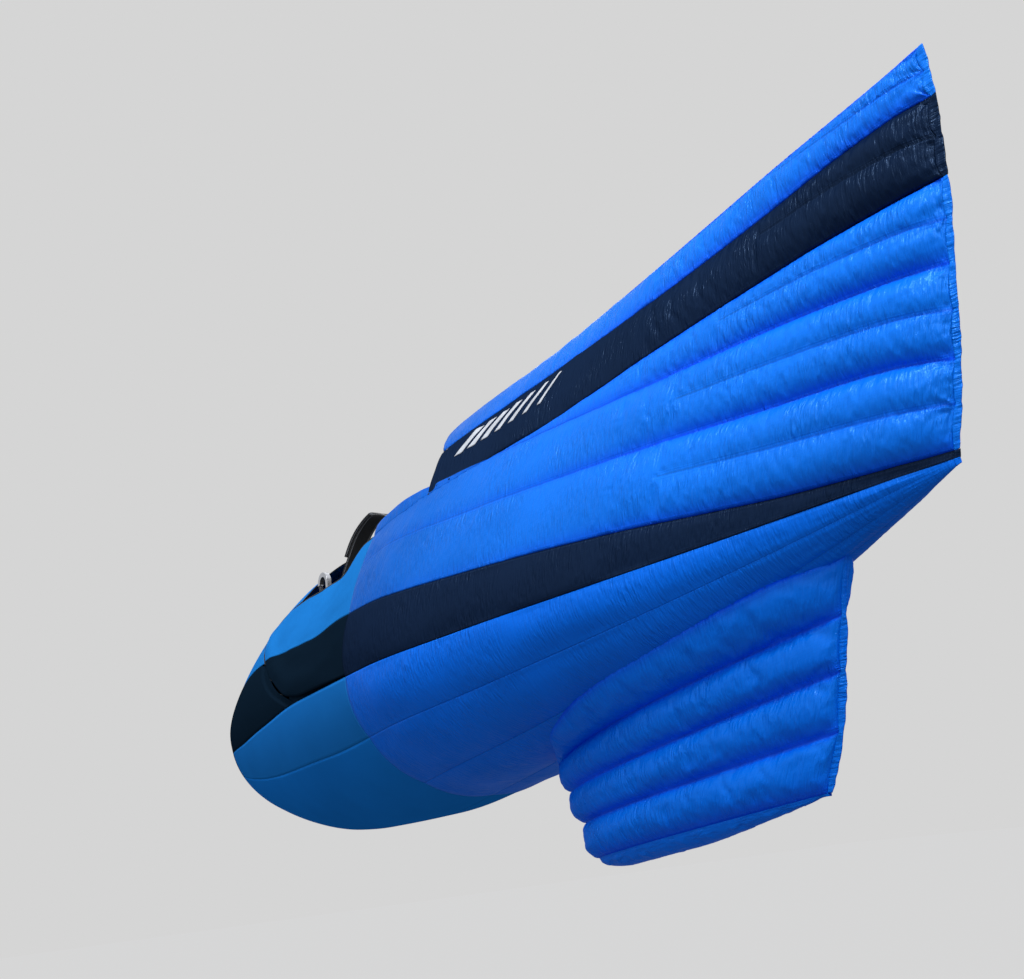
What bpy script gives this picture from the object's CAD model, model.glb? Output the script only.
"""A paragliding pod harness: an inflated pointed tail with a keel fin, a stretch front with
two cockpit door flaps, and the seat, straps, reserve and speed bar cords inside.

Hull frame, metres: x runs from 0 at the tail's edge to HULL_LENGTH at the nose, +y is the
left side and +z is up. The CAD frame has the same directions, with its origin at ORIGIN.
Round the left half of a hull section runs v: 0 at the keel, 1 at the widest line, 2 at the
crown. `side` is 1 for the left and -1 for the right.
"""
import math
from collections import namedtuple

import bmesh
import bpy
import numpy as np
from mathutils import Matrix, Vector

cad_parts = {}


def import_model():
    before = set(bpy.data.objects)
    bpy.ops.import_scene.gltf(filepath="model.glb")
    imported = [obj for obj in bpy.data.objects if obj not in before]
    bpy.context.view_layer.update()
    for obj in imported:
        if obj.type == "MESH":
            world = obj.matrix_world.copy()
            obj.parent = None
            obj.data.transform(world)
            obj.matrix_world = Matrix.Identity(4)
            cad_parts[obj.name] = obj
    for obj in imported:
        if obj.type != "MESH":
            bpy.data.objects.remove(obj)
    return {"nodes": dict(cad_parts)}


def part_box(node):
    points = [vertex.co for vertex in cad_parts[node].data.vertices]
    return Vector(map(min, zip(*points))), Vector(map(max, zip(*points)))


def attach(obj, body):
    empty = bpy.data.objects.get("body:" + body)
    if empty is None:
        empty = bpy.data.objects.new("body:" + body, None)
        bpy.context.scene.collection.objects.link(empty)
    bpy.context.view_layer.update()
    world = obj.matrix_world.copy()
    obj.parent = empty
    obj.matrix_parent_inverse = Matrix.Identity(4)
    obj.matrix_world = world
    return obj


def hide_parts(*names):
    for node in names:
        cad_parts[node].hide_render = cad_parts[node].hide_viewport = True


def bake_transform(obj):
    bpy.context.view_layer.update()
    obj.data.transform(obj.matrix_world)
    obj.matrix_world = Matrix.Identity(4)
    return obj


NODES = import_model()["nodes"]
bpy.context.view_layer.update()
ORIGIN_X, ORIGIN_Z = 1.78, .26
ORIGIN = np.array([ORIGIN_X, 0.0, ORIGIN_Z])
HULL_LENGTH = 2.72
SEAM_GAP = .0005           # each panel stops this far from a cross seam
REAR_END = 1.36 - SEAM_GAP
FRONT_START = 1.36 + SEAM_GAP
FRONT_END = 2.42 - SEAM_GAP
NOSE_START = 2.42 + SEAM_GAP
CLOTH = .0007              # cloth thickness
TAIL_START = .0080         # x where the flat edge strip meets the inflated tail
SIDES = ((1, "left", 0), (-1, "right", 6))  # side, label, shift of the noise seeds


def pick(full):
    """A count for the full model or for the quick one."""
    return full


# ------------------------------------------------------------------ curves
def curve(xs, ys):
    """Monotone cubic through the points, held constant outside them."""
    xs = np.array(xs, float)
    ys = np.array(ys, float)
    gap = np.diff(xs)
    rise = np.diff(ys) / gap
    slope = np.zeros(len(xs))
    for i in range(1, len(xs) - 1):
        if rise[i - 1] * rise[i] > 0:
            before = 2 * gap[i] + gap[i - 1]
            after = gap[i] + 2 * gap[i - 1]
            slope[i] = (before + after) / (before / rise[i - 1] + after / rise[i])

    def end_slope(gap_0, gap_1, rise_0, rise_1):
        value = ((2 * gap_0 + gap_1) * rise_0 - gap_0 * rise_1) / (gap_0 + gap_1)
        if np.sign(value) != np.sign(rise_0):
            return 0.0
        if np.sign(rise_0) != np.sign(rise_1) and abs(value) > 3 * abs(rise_0):
            return 3 * rise_0
        return value

    if len(xs) > 2:
        slope[0] = end_slope(gap[0], gap[1], rise[0], rise[1])
        slope[-1] = end_slope(gap[-1], gap[-2], rise[-1], rise[-2])
    else:
        slope[:] = rise[0]

    def value_at(x):
        x = np.clip(np.asarray(x, float), xs[0], xs[-1])
        i = np.clip(np.searchsorted(xs, x, side="right") - 1, 0, len(xs) - 2)
        t = (x - xs[i]) / gap[i]
        return ((2 * t ** 3 - 3 * t ** 2 + 1) * ys[i]
                + (t ** 3 - 2 * t ** 2 + t) * gap[i] * slope[i]
                + (3 * t ** 2 - 2 * t ** 3) * ys[i + 1]
                + (t ** 3 - t ** 2) * gap[i] * slope[i + 1])
    return value_at


def level(v):
    """A seam that stays at one v."""
    return lambda x: np.full_like(x, v)


def ease(t):
    t = np.clip(t, 0, 1)
    return t * t * (3 - 2 * t)


# Hull size at stations along x: stations, then half width, depth below and height above
# the widest line
HULL_X = [0, .32, .64, .95, 1.27, 1.59, 1.91, 2.33, 2.86]
half_width = curve(HULL_X, [.008, .096, .186, .266, .318, .318, .294, .262, .225])
depth_below = curve(HULL_X, [.008, .090, .160, .218, .262, .296, .298, .262, .232])
height_above = curve([0, .3, .6, .9, 1.2, 1.4, 1.6, 2.0, 2.4, 2.86],
                     [.583, .570, .556, .546, .538, .500, .410, .395, .333, .260])
# Seams along the hull: x stations, then v
stripe_low = curve([0, .3, 1.4, 1.7, 1.96, 2.23, 2.72],
                   [.985, .985, .975, .965, .932, .885, .86])
stripe_high = curve(
    [0, .25, .40, .56, .74, .94, 1.12, 1.40, 1.70, 2.0, 2.4, 2.72],
    [1.018, 1.05, 1.083, 1.122, 1.157, 1.187, 1.211, 1.245, 1.30, 1.345, 1.37, 1.38])
lower_seam = curve([0, .12, .30, .53, .80, 1.3], [1.220, 1.266, 1.304, 1.356, 1.400, 1.45])
upper_seam = curve([0, .12, .30, .54, .82, 1.2], [1.445, 1.48, 1.524, 1.564, 1.602, 1.62])
dorsal_low = curve(
    [0, .12, .26, .43, .56, .70, .83, .99, 1.14, 1.23, 1.37],
    [1.652, 1.668, 1.683, 1.686, 1.679, 1.656, 1.626, 1.609, 1.587, 1.570, 1.576])
dorsal_high = curve([0, .09, .19, .31, .58, .74, .93, 1.09, 1.20],
                    [1.858, 1.88, 1.886, 1.881, 1.879, 1.875, 1.860, 1.823, 1.79])
door_low = curve([1.36, 1.59, 1.69, 1.83, 1.95, 2.05, 2.13],
                 [.985, .985, 1.01, 1.137, 1.29, 1.45, 1.61])
door_high = curve([1.36, 1.45, 1.60, 1.75, 1.90, 2.0, 2.08, 2.13],
                  [1.576, 1.60, 1.625, 1.66, 1.695, 1.70, 1.68, 1.63])
# Edges across the hull: v stations, then x
HOOD_START = 1.140
hood_edge = curve([1.55, 1.60, 1.68, 1.76, 1.88, 2.0],
                  [1.138, HOOD_START, 1.146, 1.168, 1.222, 1.280])
deck_start = curve([1.28, 1.36, 1.45, 1.60, 1.64, 1.68, 1.72, 2.0],
                   [1.955, 2.008, 2.062, 2.134, 2.136, 2.092, 1.945, 1.930])
# Rear edge of the front stripe: share across it, then x
stripe_start = curve([0, .2, .4, .6, .8, 1.0], [1.70, 1.78, 1.858, 1.92, 1.97, 2.012])
# How far the tail's edge strip is set forward: v, then x
edge_set = curve([0, 1.0, 1.121, 1.224, 1.336, 1.448, 1.551, 1.653, 1.758, 1.861, 1.932, 2.0],
                 [0, 0, .0010, .0047, .0092, .0142, .0138, .0127, .0122, .0068, .0082, .0105])


# ------------------------------------------------------------------ hull surface
def nose_taper(x):
    """1 up to x = 2, then an ellipse-like fall to 0 at the nose."""
    t = np.clip((x - 2.0) / (HULL_LENGTH - 2.0), 0, 1)
    return np.power(np.maximum(1 - t ** 2.1, 0), 1 / 2.1)


def waterline(x):
    """Height of the widest line, v = 1."""
    t = x / HULL_LENGTH
    return -.041 * t - .022 * 4 * t * (1 - t)


def skin(x, v):
    """Smooth hull surface on the left side, hull frame."""
    x, v = np.broadcast_arrays(np.asarray(x, float), np.asarray(v, float))
    taper = nose_taper(x)
    up = np.clip(v - 1, 0, 1)
    flare = ease((x - .2) / 1.3)
    pinch = .22 + .78 * np.sqrt(np.clip((x - .010) / .075, 0, 1))
    width = half_width(x) * taper * np.where(x > .085, 1, pinch)
    quarter = np.clip(v, 0, 1) * math.pi / 2
    y_low = width * np.sin(quarter)
    z_low = waterline(x) - depth_below(x) * taper * np.cos(quarter)
    y_high = width * np.power(np.maximum(1 - np.power(up, 1.15 + .6 * flare), 0),
                              1 - .28 * flare)
    z_high = waterline(x) + up * height_above(x) * taper
    # the tail's edge leans backwards above the widest line
    x_high = x - (.098 * np.sin(np.minimum(1.25 * up, 1) * math.pi / 2)
                  * np.power(np.maximum(0, 1 - x / 1.2), 1.5))
    low = v <= 1
    return np.stack([np.where(low, x, x_high), np.where(low, y_low, y_high),
                     np.where(low, z_low, z_high)], -1)


def unit(vectors):
    return vectors / np.maximum(np.linalg.norm(vectors, axis=-1, keepdims=True), 1e-12)


def skin_normal(x, v):
    """Outward normal of the left side, from central differences."""
    x, v = np.broadcast_arrays(np.asarray(x, float), np.asarray(v, float))
    step_x, step_v = .004, .012
    ahead = np.minimum(x + step_x, HULL_LENGTH - .0002)
    behind = np.maximum(x - step_x, 0.0)
    above = np.minimum(v + step_v, 2)
    below = np.maximum(v - step_v, 0)
    return unit(np.cross(skin(x, above) - skin(x, below), skin(ahead, v) - skin(behind, v)))


def flip_y(points, side):
    return points * np.array([1, side, 1])


def raised_skin(x, v, lift, side):
    """Hull points lifted along their normals, and the normals, in the CAD frame."""
    normals = skin_normal(x, v)
    points = skin(x, v) + normals * np.asarray(lift)[..., None]
    return flip_y(points, side) - ORIGIN, flip_y(normals, side)


# ------------------------------------------------------------------ noise and folds
class ValueNoise:
    """Seeded smooth value noise in one or two directions."""

    def __init__(self, seed, size=512):
        self.table = np.random.RandomState(seed).rand(size, size) * 2 - 1
        self.size = size

    def __call__(self, a, b=0.0):
        a, b = np.broadcast_arrays(np.asarray(a, float), np.asarray(b, float))
        i = np.floor(a).astype(int)
        j = np.floor(b).astype(int)
        s = a - i
        t = b - j
        s = s * s * s * (s * (6 * s - 15) + 10)
        t = t * t * t * (t * (6 * t - 15) + 10)

        def at(row, col):
            return self.table[row % self.size, col % self.size]
        return ((at(i, j) * (1 - s) + at(i + 1, j) * s) * (1 - t)
                + (at(i, j + 1) * (1 - s) + at(i + 1, j + 1) * s) * t)


NOISE = [ValueNoise(seed) for seed in range(11, 23)]


def noise_field(seed):
    return NOISE[seed % len(NOISE)]


def pillow(share, power, fullness):
    """Inflated profile: 0 at shares 0 and 1, 1 in the middle."""
    return np.power(np.maximum(1 - np.abs(2 * np.clip(share, 0, 1) - 1) ** power, 0), fullness)


def gathers(x, dist, seed, wave, reach):
    """Short puckers that leave a seam at right angles: x along it, dist away from it."""
    field = noise_field(seed)
    fade = np.exp(-np.maximum(dist, 0) / reach) * ease(dist / .004)
    pucker = (field(x / wave, dist / .05 + seed * 3.1)
              + .6 * field(x / (wave * .47) + 31, dist / .03 + seed))
    return pucker * fade * (.55 + .45 * field(x / .12 + 7.7 * seed, 5.0))


def fan_folds(along, across, seed, reach):
    """Folds that fan out from a point where a seam meets the edge strip."""
    lobes = 2.6
    radius = np.hypot(along, across)
    angle = np.arctan2(across, along)
    field = noise_field(seed)
    fold = (field(angle * lobes + 5.3 * seed, radius / .12)
            + .5 * field(angle * lobes * 2.3 + 9, radius / .05))
    return fold * np.exp(-radius / reach) * ease(radius / .007)


def edge_folds(across, dist, seed, wave, reach):
    """Creases that start at an edge and fade with the distance from it."""
    field = noise_field(seed + 5)
    fade = np.exp(-np.maximum(dist, 0) / reach) * ease(dist / .006)
    crease = (field(across / wave + dist * 4, dist / .09 + seed)
              + .5 * field(across / (wave * .45) + 17, dist / .06))
    return crease * fade


def furrow(dist, width):
    """1 on a seam, falling off over width."""
    return np.exp(-(np.abs(dist) / width) ** 1.3)


# ------------------------------------------------------------------ meshes
def quads(rows, cols, wrap=True):
    index = np.arange(rows * cols).reshape(rows, cols)
    if wrap:
        turned = np.roll(index, -1, 1)
        corners = [index[:-1], turned[:-1], turned[1:], index[1:]]
    else:
        corners = [index[:-1, :-1], index[:-1, 1:], index[1:, 1:], index[1:, :-1]]
    return np.stack(corners, -1).reshape(-1, 4)


def wall(here, layer, after=None):
    """Quads from an edge to the same edge `layer` indices on; closed if after is None."""
    after = np.roll(here, -1) if after is None else after
    return np.stack([here, after, after + layer, here + layer], -1)


def wall_back(here, layer, after=None):
    """The same wall, wound the other way."""
    after = np.roll(here, -1) if after is None else after
    return np.stack([here, here + layer, after + layer, after], -1)


def border(rows, cols):
    """Indices once round the border of a grid."""
    index = np.arange(rows * cols).reshape(rows, cols)
    return np.concatenate([index[0, :-1], index[:-1, -1], index[-1, :0:-1], index[:0:-1, 0]])


def arc_uv(points):
    """UV in metres from a point grid: u along rows, v across."""
    row_step = np.linalg.norm(np.diff(points, axis=0), axis=-1).mean(1)
    u = np.concatenate([[0], np.cumsum(row_step)])
    v = across_length(points)
    return np.stack([np.broadcast_to(u[:, None], v.shape), v], -1)


def across_length(points):
    step = np.linalg.norm(np.diff(points, axis=1), axis=-1)
    return np.concatenate([np.zeros((points.shape[0], 1)), np.cumsum(step, 1)], 1)


def edges(points):
    """Distance in metres to the grid's long edges and to its end edges."""
    across = across_length(points)
    along = across_length(points.swapaxes(0, 1)).T
    return {"edge": np.minimum(across, across[:, -1:] - across),
            "edge_u": np.minimum(along, along[-1:] - along)}


def add_attribute(mesh, name, values):
    attribute = mesh.attributes.new(name, "FLOAT", "POINT")
    attribute.data.foreach_set("value", values.astype(np.float32))


def dress_mesh(mesh, uv, attributes, mat):
    """Smooth shading, UV map, point attributes and material."""
    mesh.polygons.foreach_set("use_smooth", np.ones(len(mesh.polygons), bool))
    layer = mesh.uv_layers.new(name="UVMap")
    corner = np.zeros(len(mesh.loops), np.int32)
    mesh.loops.foreach_get("vertex_index", corner)
    layer.data.foreach_set("uv", uv[corner].astype(np.float32).ravel())
    for name, values in attributes.items():
        add_attribute(mesh, name, values)
    mesh.materials.append(MATS[mat])


def add_object(name, mesh):
    ob = bpy.data.objects.new(name, mesh)
    bpy.context.scene.collection.objects.link(ob)
    return ob


def grid_mesh(name, outer, inner, uv, mat, attributes, wrap=False):
    """Closed shell from an outer and an inner point grid; wrap joins the first and last column."""
    rows, cols = outer.shape[:2]
    layer = rows * cols
    index = np.arange(layer).reshape(rows, cols)
    grid = quads(rows, cols, wrap)
    faces = [grid, grid[:, ::-1] + layer]
    if wrap:
        faces += [wall_back(index[0], layer), wall(index[-1], layer)]
    else:
        faces += [wall_back(index[0, :-1], layer, index[0, 1:]),
                  wall(index[-1, :-1], layer, index[-1, 1:]),
                  wall(index[:-1, 0], layer, index[1:, 0]),
                  wall_back(index[:-1, -1], layer, index[1:, -1])]
    faces = np.vstack(faces)
    points = np.vstack([outer.reshape(-1, 3), inner.reshape(-1, 3)])
    # turn the faces if a middle one looks towards the inner grid
    probe = faces[len(grid) // 2]
    corners = points[probe]
    normal = np.cross(corners[1] - corners[0], corners[3] - corners[0])
    if normal @ (points[probe[0]] - points[probe[0] + layer]) < 0:
        faces = faces[:, ::-1]
    mesh = bpy.data.meshes.new(name)
    mesh.vertices.add(len(points))
    mesh.vertices.foreach_set("co", points.astype(np.float32).ravel())
    mesh.loops.add(faces.size)
    mesh.loops.foreach_set("vertex_index", faces.astype(np.int32).ravel())
    mesh.polygons.add(len(faces))
    mesh.polygons.foreach_set("loop_start", (np.arange(len(faces)) * 4).astype(np.int32))
    mesh.polygons.foreach_set("loop_total", np.full(len(faces), 4, np.int32))
    mesh.update(calc_edges=True)
    mesh.validate()
    uv = uv.reshape(-1, 2)
    doubled = {key: np.tile(values.reshape(-1), 2) for key, values in attributes.items()}
    dress_mesh(mesh, np.vstack([uv, uv]), doubled, mat)
    return add_object(name, mesh)


def place(ob, body, node=None):
    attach(ob, body)
    if node:
        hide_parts(node)


def cloth_grid(name, points, normals, mat, thick=CLOTH):
    return grid_mesh(name, points, points - normals * thick, arc_uv(points), mat,
                     edges(points))


def cloth_panel(name, points, normals, mat, node, thick=CLOTH, body="harness"):
    place(cloth_grid(name, points, normals, mat, thick), body, node)


def soft_part(name, parts, mat, node=None, body="harness"):
    """One mesh from parts: (points, face arrays, uv, edge distance)."""
    faces = []
    start = 0
    for points, part_faces, _, _ in parts:
        for group in part_faces:
            for face in np.asarray(group):
                faces.append([int(i) + start for i in face])
        start += len(points)
    mesh = bpy.data.meshes.new(name)
    mesh.from_pydata(np.vstack([part[0] for part in parts]).tolist(), [], faces)
    mesh.validate()
    edge = np.concatenate([part[3] for part in parts])
    dress_mesh(mesh, np.vstack([part[2] for part in parts]),
               {"edge": edge, "edge_u": np.full(len(edge), .1)}, mat)
    ob = add_object(name, mesh)
    if body:
        place(ob, body, node)
    return ob


# Parts for soft_part ------------------------------------------------------------
def resample(path, step):
    """Smooth path through the points at an even step, and the length along it."""
    path = np.asarray(path, float)
    lengths = path_length(path)
    axes = [curve(lengths, path[:, axis]) for axis in range(3)]
    along = np.linspace(0, lengths[-1], max(6, int(lengths[-1] / step)))
    return np.stack([axis(along) for axis in axes], -1), along


def path_length(path):
    return np.concatenate([[0], np.cumsum(np.linalg.norm(np.diff(path, axis=0), axis=1))])


def end_caps(rows, cols):
    first = np.arange(cols)[None]
    return [first[:, ::-1], first + (rows - 1) * cols]


def sweep(path, across, width, thick, step=.005, sides=20, power=5.0, closed=False, crown=0.0,
          raw=False):
    """Rounded flat section swept along a path, its width lying along `across`.

    A closed or raw path is used point by point; any other is resampled.
    """
    if closed or raw:
        centre = np.asarray(path, float)
        along = path_length(centre)
    else:
        centre, along = resample(path, step)
    if closed:
        direction = unit(np.roll(centre, -1, 0) - np.roll(centre, 1, 0))
    else:
        direction = unit(np.gradient(centre, axis=0))
    across = np.broadcast_to(np.asarray(across, float), centre.shape)
    across = unit(across - direction * (across * direction).sum(-1, keepdims=True))
    normal = unit(np.cross(direction, across))
    angle = full_turn(sides)
    c, s = np.cos(angle), np.sin(angle)
    y = np.sign(c) * np.abs(c) ** (2 / power) * width / 2
    z = np.sign(s) * np.abs(s) ** (2 / 2.6) * (thick / 2)
    z = z * (1 + crown * (1 - (2 * y / width) ** 2))
    points = (centre[:, None] + across[:, None] * y[None, :, None]
              + normal[:, None] * z[None, :, None])
    rows = len(centre)
    shape = (rows, sides)
    uv = np.stack([np.broadcast_to(along[:, None], shape), np.broadcast_to(y[None], shape)], -1)
    edge = np.broadcast_to((width / 2 - np.abs(y))[None], shape)
    faces = [quads(rows, sides)]
    if closed:
        index = np.arange(rows * sides).reshape(shape)
        last, first = index[-1], index[0]
        faces.append(np.stack([last, np.roll(last, -1), np.roll(first, -1), first], -1))
    else:
        faces += end_caps(rows, sides)
    return points.reshape(-1, 3), faces, uv.reshape(-1, 2), edge.reshape(-1)


def tube(path, radius, step=.006, sides=12, closed=False):
    path = np.asarray(path, float)
    level_path = np.abs(unit(path[-1] - path[0])[2]) < .9
    across = [0, 0, 1.0] if level_path else [0, 1.0, 0]
    return sweep(path, across, 2 * radius, 2 * radius, step, sides, power=2.0, closed=closed)


def full_turn(count):
    return np.linspace(0, 2 * math.pi, count, endpoint=False)


def sheet(grid, thick, facing=None):
    """Closed thin shell under a point grid; facing picks the side its normals look to."""
    normals = unit(np.cross(np.gradient(grid, axis=0), np.gradient(grid, axis=1)))
    if facing is not None and (normals * np.asarray(facing)).sum(-1).mean() < 0:
        normals = -normals
    rows, cols = grid.shape[:2]
    layer = rows * cols
    faces = quads(rows, cols, wrap=False)
    rim = wall(border(rows, cols), layer)
    points = np.vstack([grid.reshape(-1, 3), (grid - normals * thick).reshape(-1, 3)])
    uv = arc_uv(grid).reshape(-1, 2)
    edge = edges(grid)["edge"].reshape(-1)
    a, b, _, d = points[faces[0]]
    if np.cross(b - a, d - a) @ normals[0, 0] < 0:
        groups = [faces[:, ::-1], faces + layer, rim]
    else:
        groups = [faces, faces[:, ::-1] + layer, rim[:, ::-1]]
    return points, groups, np.vstack([uv, uv]), np.concatenate([edge, edge])


def ring_shell(top, bottom, uv, edge, capped=False):
    """Shell from two ring-shaped grids; capped closes the first ring with faces."""
    rows, cols = top.shape[:2]
    layer = rows * cols
    faces = quads(rows, cols)
    first = np.arange(cols)
    last = first + (rows - 1) * cols
    groups = [faces, faces[:, ::-1] + layer]
    if capped:
        groups += [wall(last, layer), first[None], (first + layer)[None, ::-1]]
    else:
        groups += [wall_back(first, layer), wall(last, layer)]
    uv = uv.reshape(-1, 2)
    edge = np.broadcast_to(edge, (rows, cols)).reshape(-1)
    points = np.vstack([top.reshape(-1, 3), bottom.reshape(-1, 3)])
    return points, groups, np.vstack([uv, uv]), np.concatenate([edge, edge])


def soft_box(x0, z0, half_size, power, cols, rows, seed, dent):
    """Superellipsoid centred on y = 0, with a small flat pole at top and bottom."""
    half_x, half_y, half_z = half_size
    a = full_turn(cols)[None, :]
    b = np.linspace(-math.pi / 2 + .02, math.pi / 2 - .02, rows)[:, None]

    def squared(value, p):
        return np.sign(value) * np.abs(value) ** (2 / p)
    x = half_x * squared(np.cos(b), power) * squared(np.cos(a), power)
    y = half_y * squared(np.cos(b), power) * squared(np.sin(a), power)
    z = half_z * squared(np.sin(b), power * .6) + 0 * a
    swell = 1 + dent * 14 * NOISE[seed](a * 2.2 + 3, b * 3.1 + seed)
    points = np.stack([x0 + x * swell, y * swell, z0 + z * swell], -1)
    uv = np.stack([np.broadcast_to(a * (half_x + half_y) / 2, x.shape),
                   np.broadcast_to(b * half_z, x.shape)], -1).reshape(-1, 2)
    faces = [quads(rows, cols)] + end_caps(rows, cols)
    return points.reshape(-1, 3), faces, uv, np.full(cols * rows, .1)


# ------------------------------------------------------------------ cloth solver
def run_cloth(ob, pinned, frames, cache_end, **settings):
    """Points of ob after the cloth solver has blown it up; pinned points are the seams."""
    group = ob.vertex_groups.new(name="seams")
    group.add([int(i) for i in np.nonzero(pinned)[0]], 1.0, "REPLACE")
    cloth = ob.modifiers.new("cloth", "CLOTH")
    for name, value in settings.items():
        setattr(cloth.settings, name, value)
    cloth.settings.use_pressure = True
    cloth.settings.effector_weights.gravity = 0
    cloth.settings.vertex_group_mass = "seams"
    cloth.collision_settings.use_collision = False
    cloth.point_cache.frame_start = 1
    cloth.point_cache.frame_end = cache_end
    for number in range(1, frames + 1):
        bpy.context.scene.frame_set(number)
    evaluated = ob.evaluated_get(bpy.context.evaluated_depsgraph_get())
    settled = np.zeros(len(ob.data.vertices) * 3)
    evaluated.to_mesh().vertices.foreach_get("co", settled)
    evaluated.to_mesh_clear()
    return settled.reshape(-1, 3)


def limit_move(start, settled, limit):
    move = settled - start
    length = np.linalg.norm(move, axis=-1, keepdims=True)
    return start + move * np.minimum(1, limit / np.maximum(length, 1e-9))


def blow_up(start, pinned, outward, row, col, bending):
    """Inflates a sewn point grid; the face at row, col shows which way is out."""
    a, b, c = start[[row, row, row + 1], [col, col + 1, col]]
    # pressure pushes along the face normals, so they must look outwards
    order = -1 if np.cross(b - a, c - a) @ outward[row, col] < 0 else 1
    turned = start[:, ::order]
    rows, cols = start.shape[:2]
    mesh = bpy.data.meshes.new("sheet")
    mesh.from_pydata(turned.reshape(-1, 3).tolist(), [], quads(rows, cols, wrap=False).tolist())
    ob = add_object("sheet", mesh)
    frames = 18
    settled = run_cloth(
        ob, pinned[:, ::order].ravel(), frames, frames + 1, quality=5, mass=.02,
        tension_stiffness=20, compression_stiffness=20, shear_stiffness=8,
        bending_stiffness=bending, tension_damping=3, compression_damping=3,
        shear_damping=3, air_damping=2, uniform_pressure_force=17.0, shrink_min=-.017)
    bpy.data.objects.remove(ob)
    bpy.data.meshes.remove(mesh)
    bpy.context.scene.frame_set(1)
    return limit_move(turned, settled.reshape(rows, cols, 3), .022)[:, ::order]


def inflated_pad(name, top, bottom, voxel, limit, frames, pin):
    """Remeshed cushion between two point grids, blown up between its pinned points."""
    rows, cols = top.shape[:2]
    layer = rows * cols
    grid = quads(rows, cols, wrap=False)
    rim = wall(border(rows, cols), layer)[:, ::-1]
    faces = np.vstack([grid, grid[:, ::-1] + layer, rim])
    first = bpy.data.meshes.new(name)
    points = np.vstack([top.reshape(-1, 3), bottom.reshape(-1, 3)])
    first.from_pydata(points.tolist(), [], faces.tolist())
    first.validate()
    ob = add_object(name, first)
    bpy.context.view_layer.objects.active = ob
    shell = bmesh.new()
    shell.from_mesh(first)
    bmesh.ops.recalc_face_normals(shell, faces=shell.faces)
    shell.to_mesh(first)
    shell.free()
    remesh = ob.modifiers.new("remesh", "REMESH")
    remesh.mode = "VOXEL"
    remesh.voxel_size = pick(voxel)
    graph = bpy.context.evaluated_depsgraph_get()
    mesh = bpy.data.meshes.new_from_object(ob.evaluated_get(graph))
    ob.modifiers.clear()
    ob.data = mesh
    mesh.name = name
    count = len(mesh.vertices)
    start = np.zeros(count * 3)
    mesh.vertices.foreach_get("co", start)
    start = start.reshape(-1, 3)
    settled = run_cloth(
        ob, pin(start), frames, frames, quality=6, mass=.15, tension_stiffness=18,
        compression_stiffness=12, shear_stiffness=6, bending_stiffness=.25,
        uniform_pressure_force=5.0, shrink_min=-.02, pin_stiffness=2.0)
    ob.modifiers.clear()
    moved = limit_move(start, settled, limit)
    mesh.vertices.foreach_set("co", moved.astype(np.float32).ravel())
    mesh.update()
    bpy.context.scene.frame_set(1)
    mesh.polygons.foreach_set("use_smooth", np.ones(len(mesh.polygons), bool))
    for key in ("edge", "edge_u"):
        add_attribute(mesh, key, np.full(count, .1))
    mesh.materials.clear()
    mesh.materials.append(MATS["pad_obj"])
    return ob


# ------------------------------------------------------------------ material tools
def srgb(code):
    parts = [int(code[i:i + 2], 16) / 255 for i in (1, 3, 5)]
    return tuple(x / 12.92 if x <= .04045 else ((x + .055) / 1.055) ** 2.4 for x in parts)


def tone(color, factor):
    return tuple(min(1, x * factor) for x in color)


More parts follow.
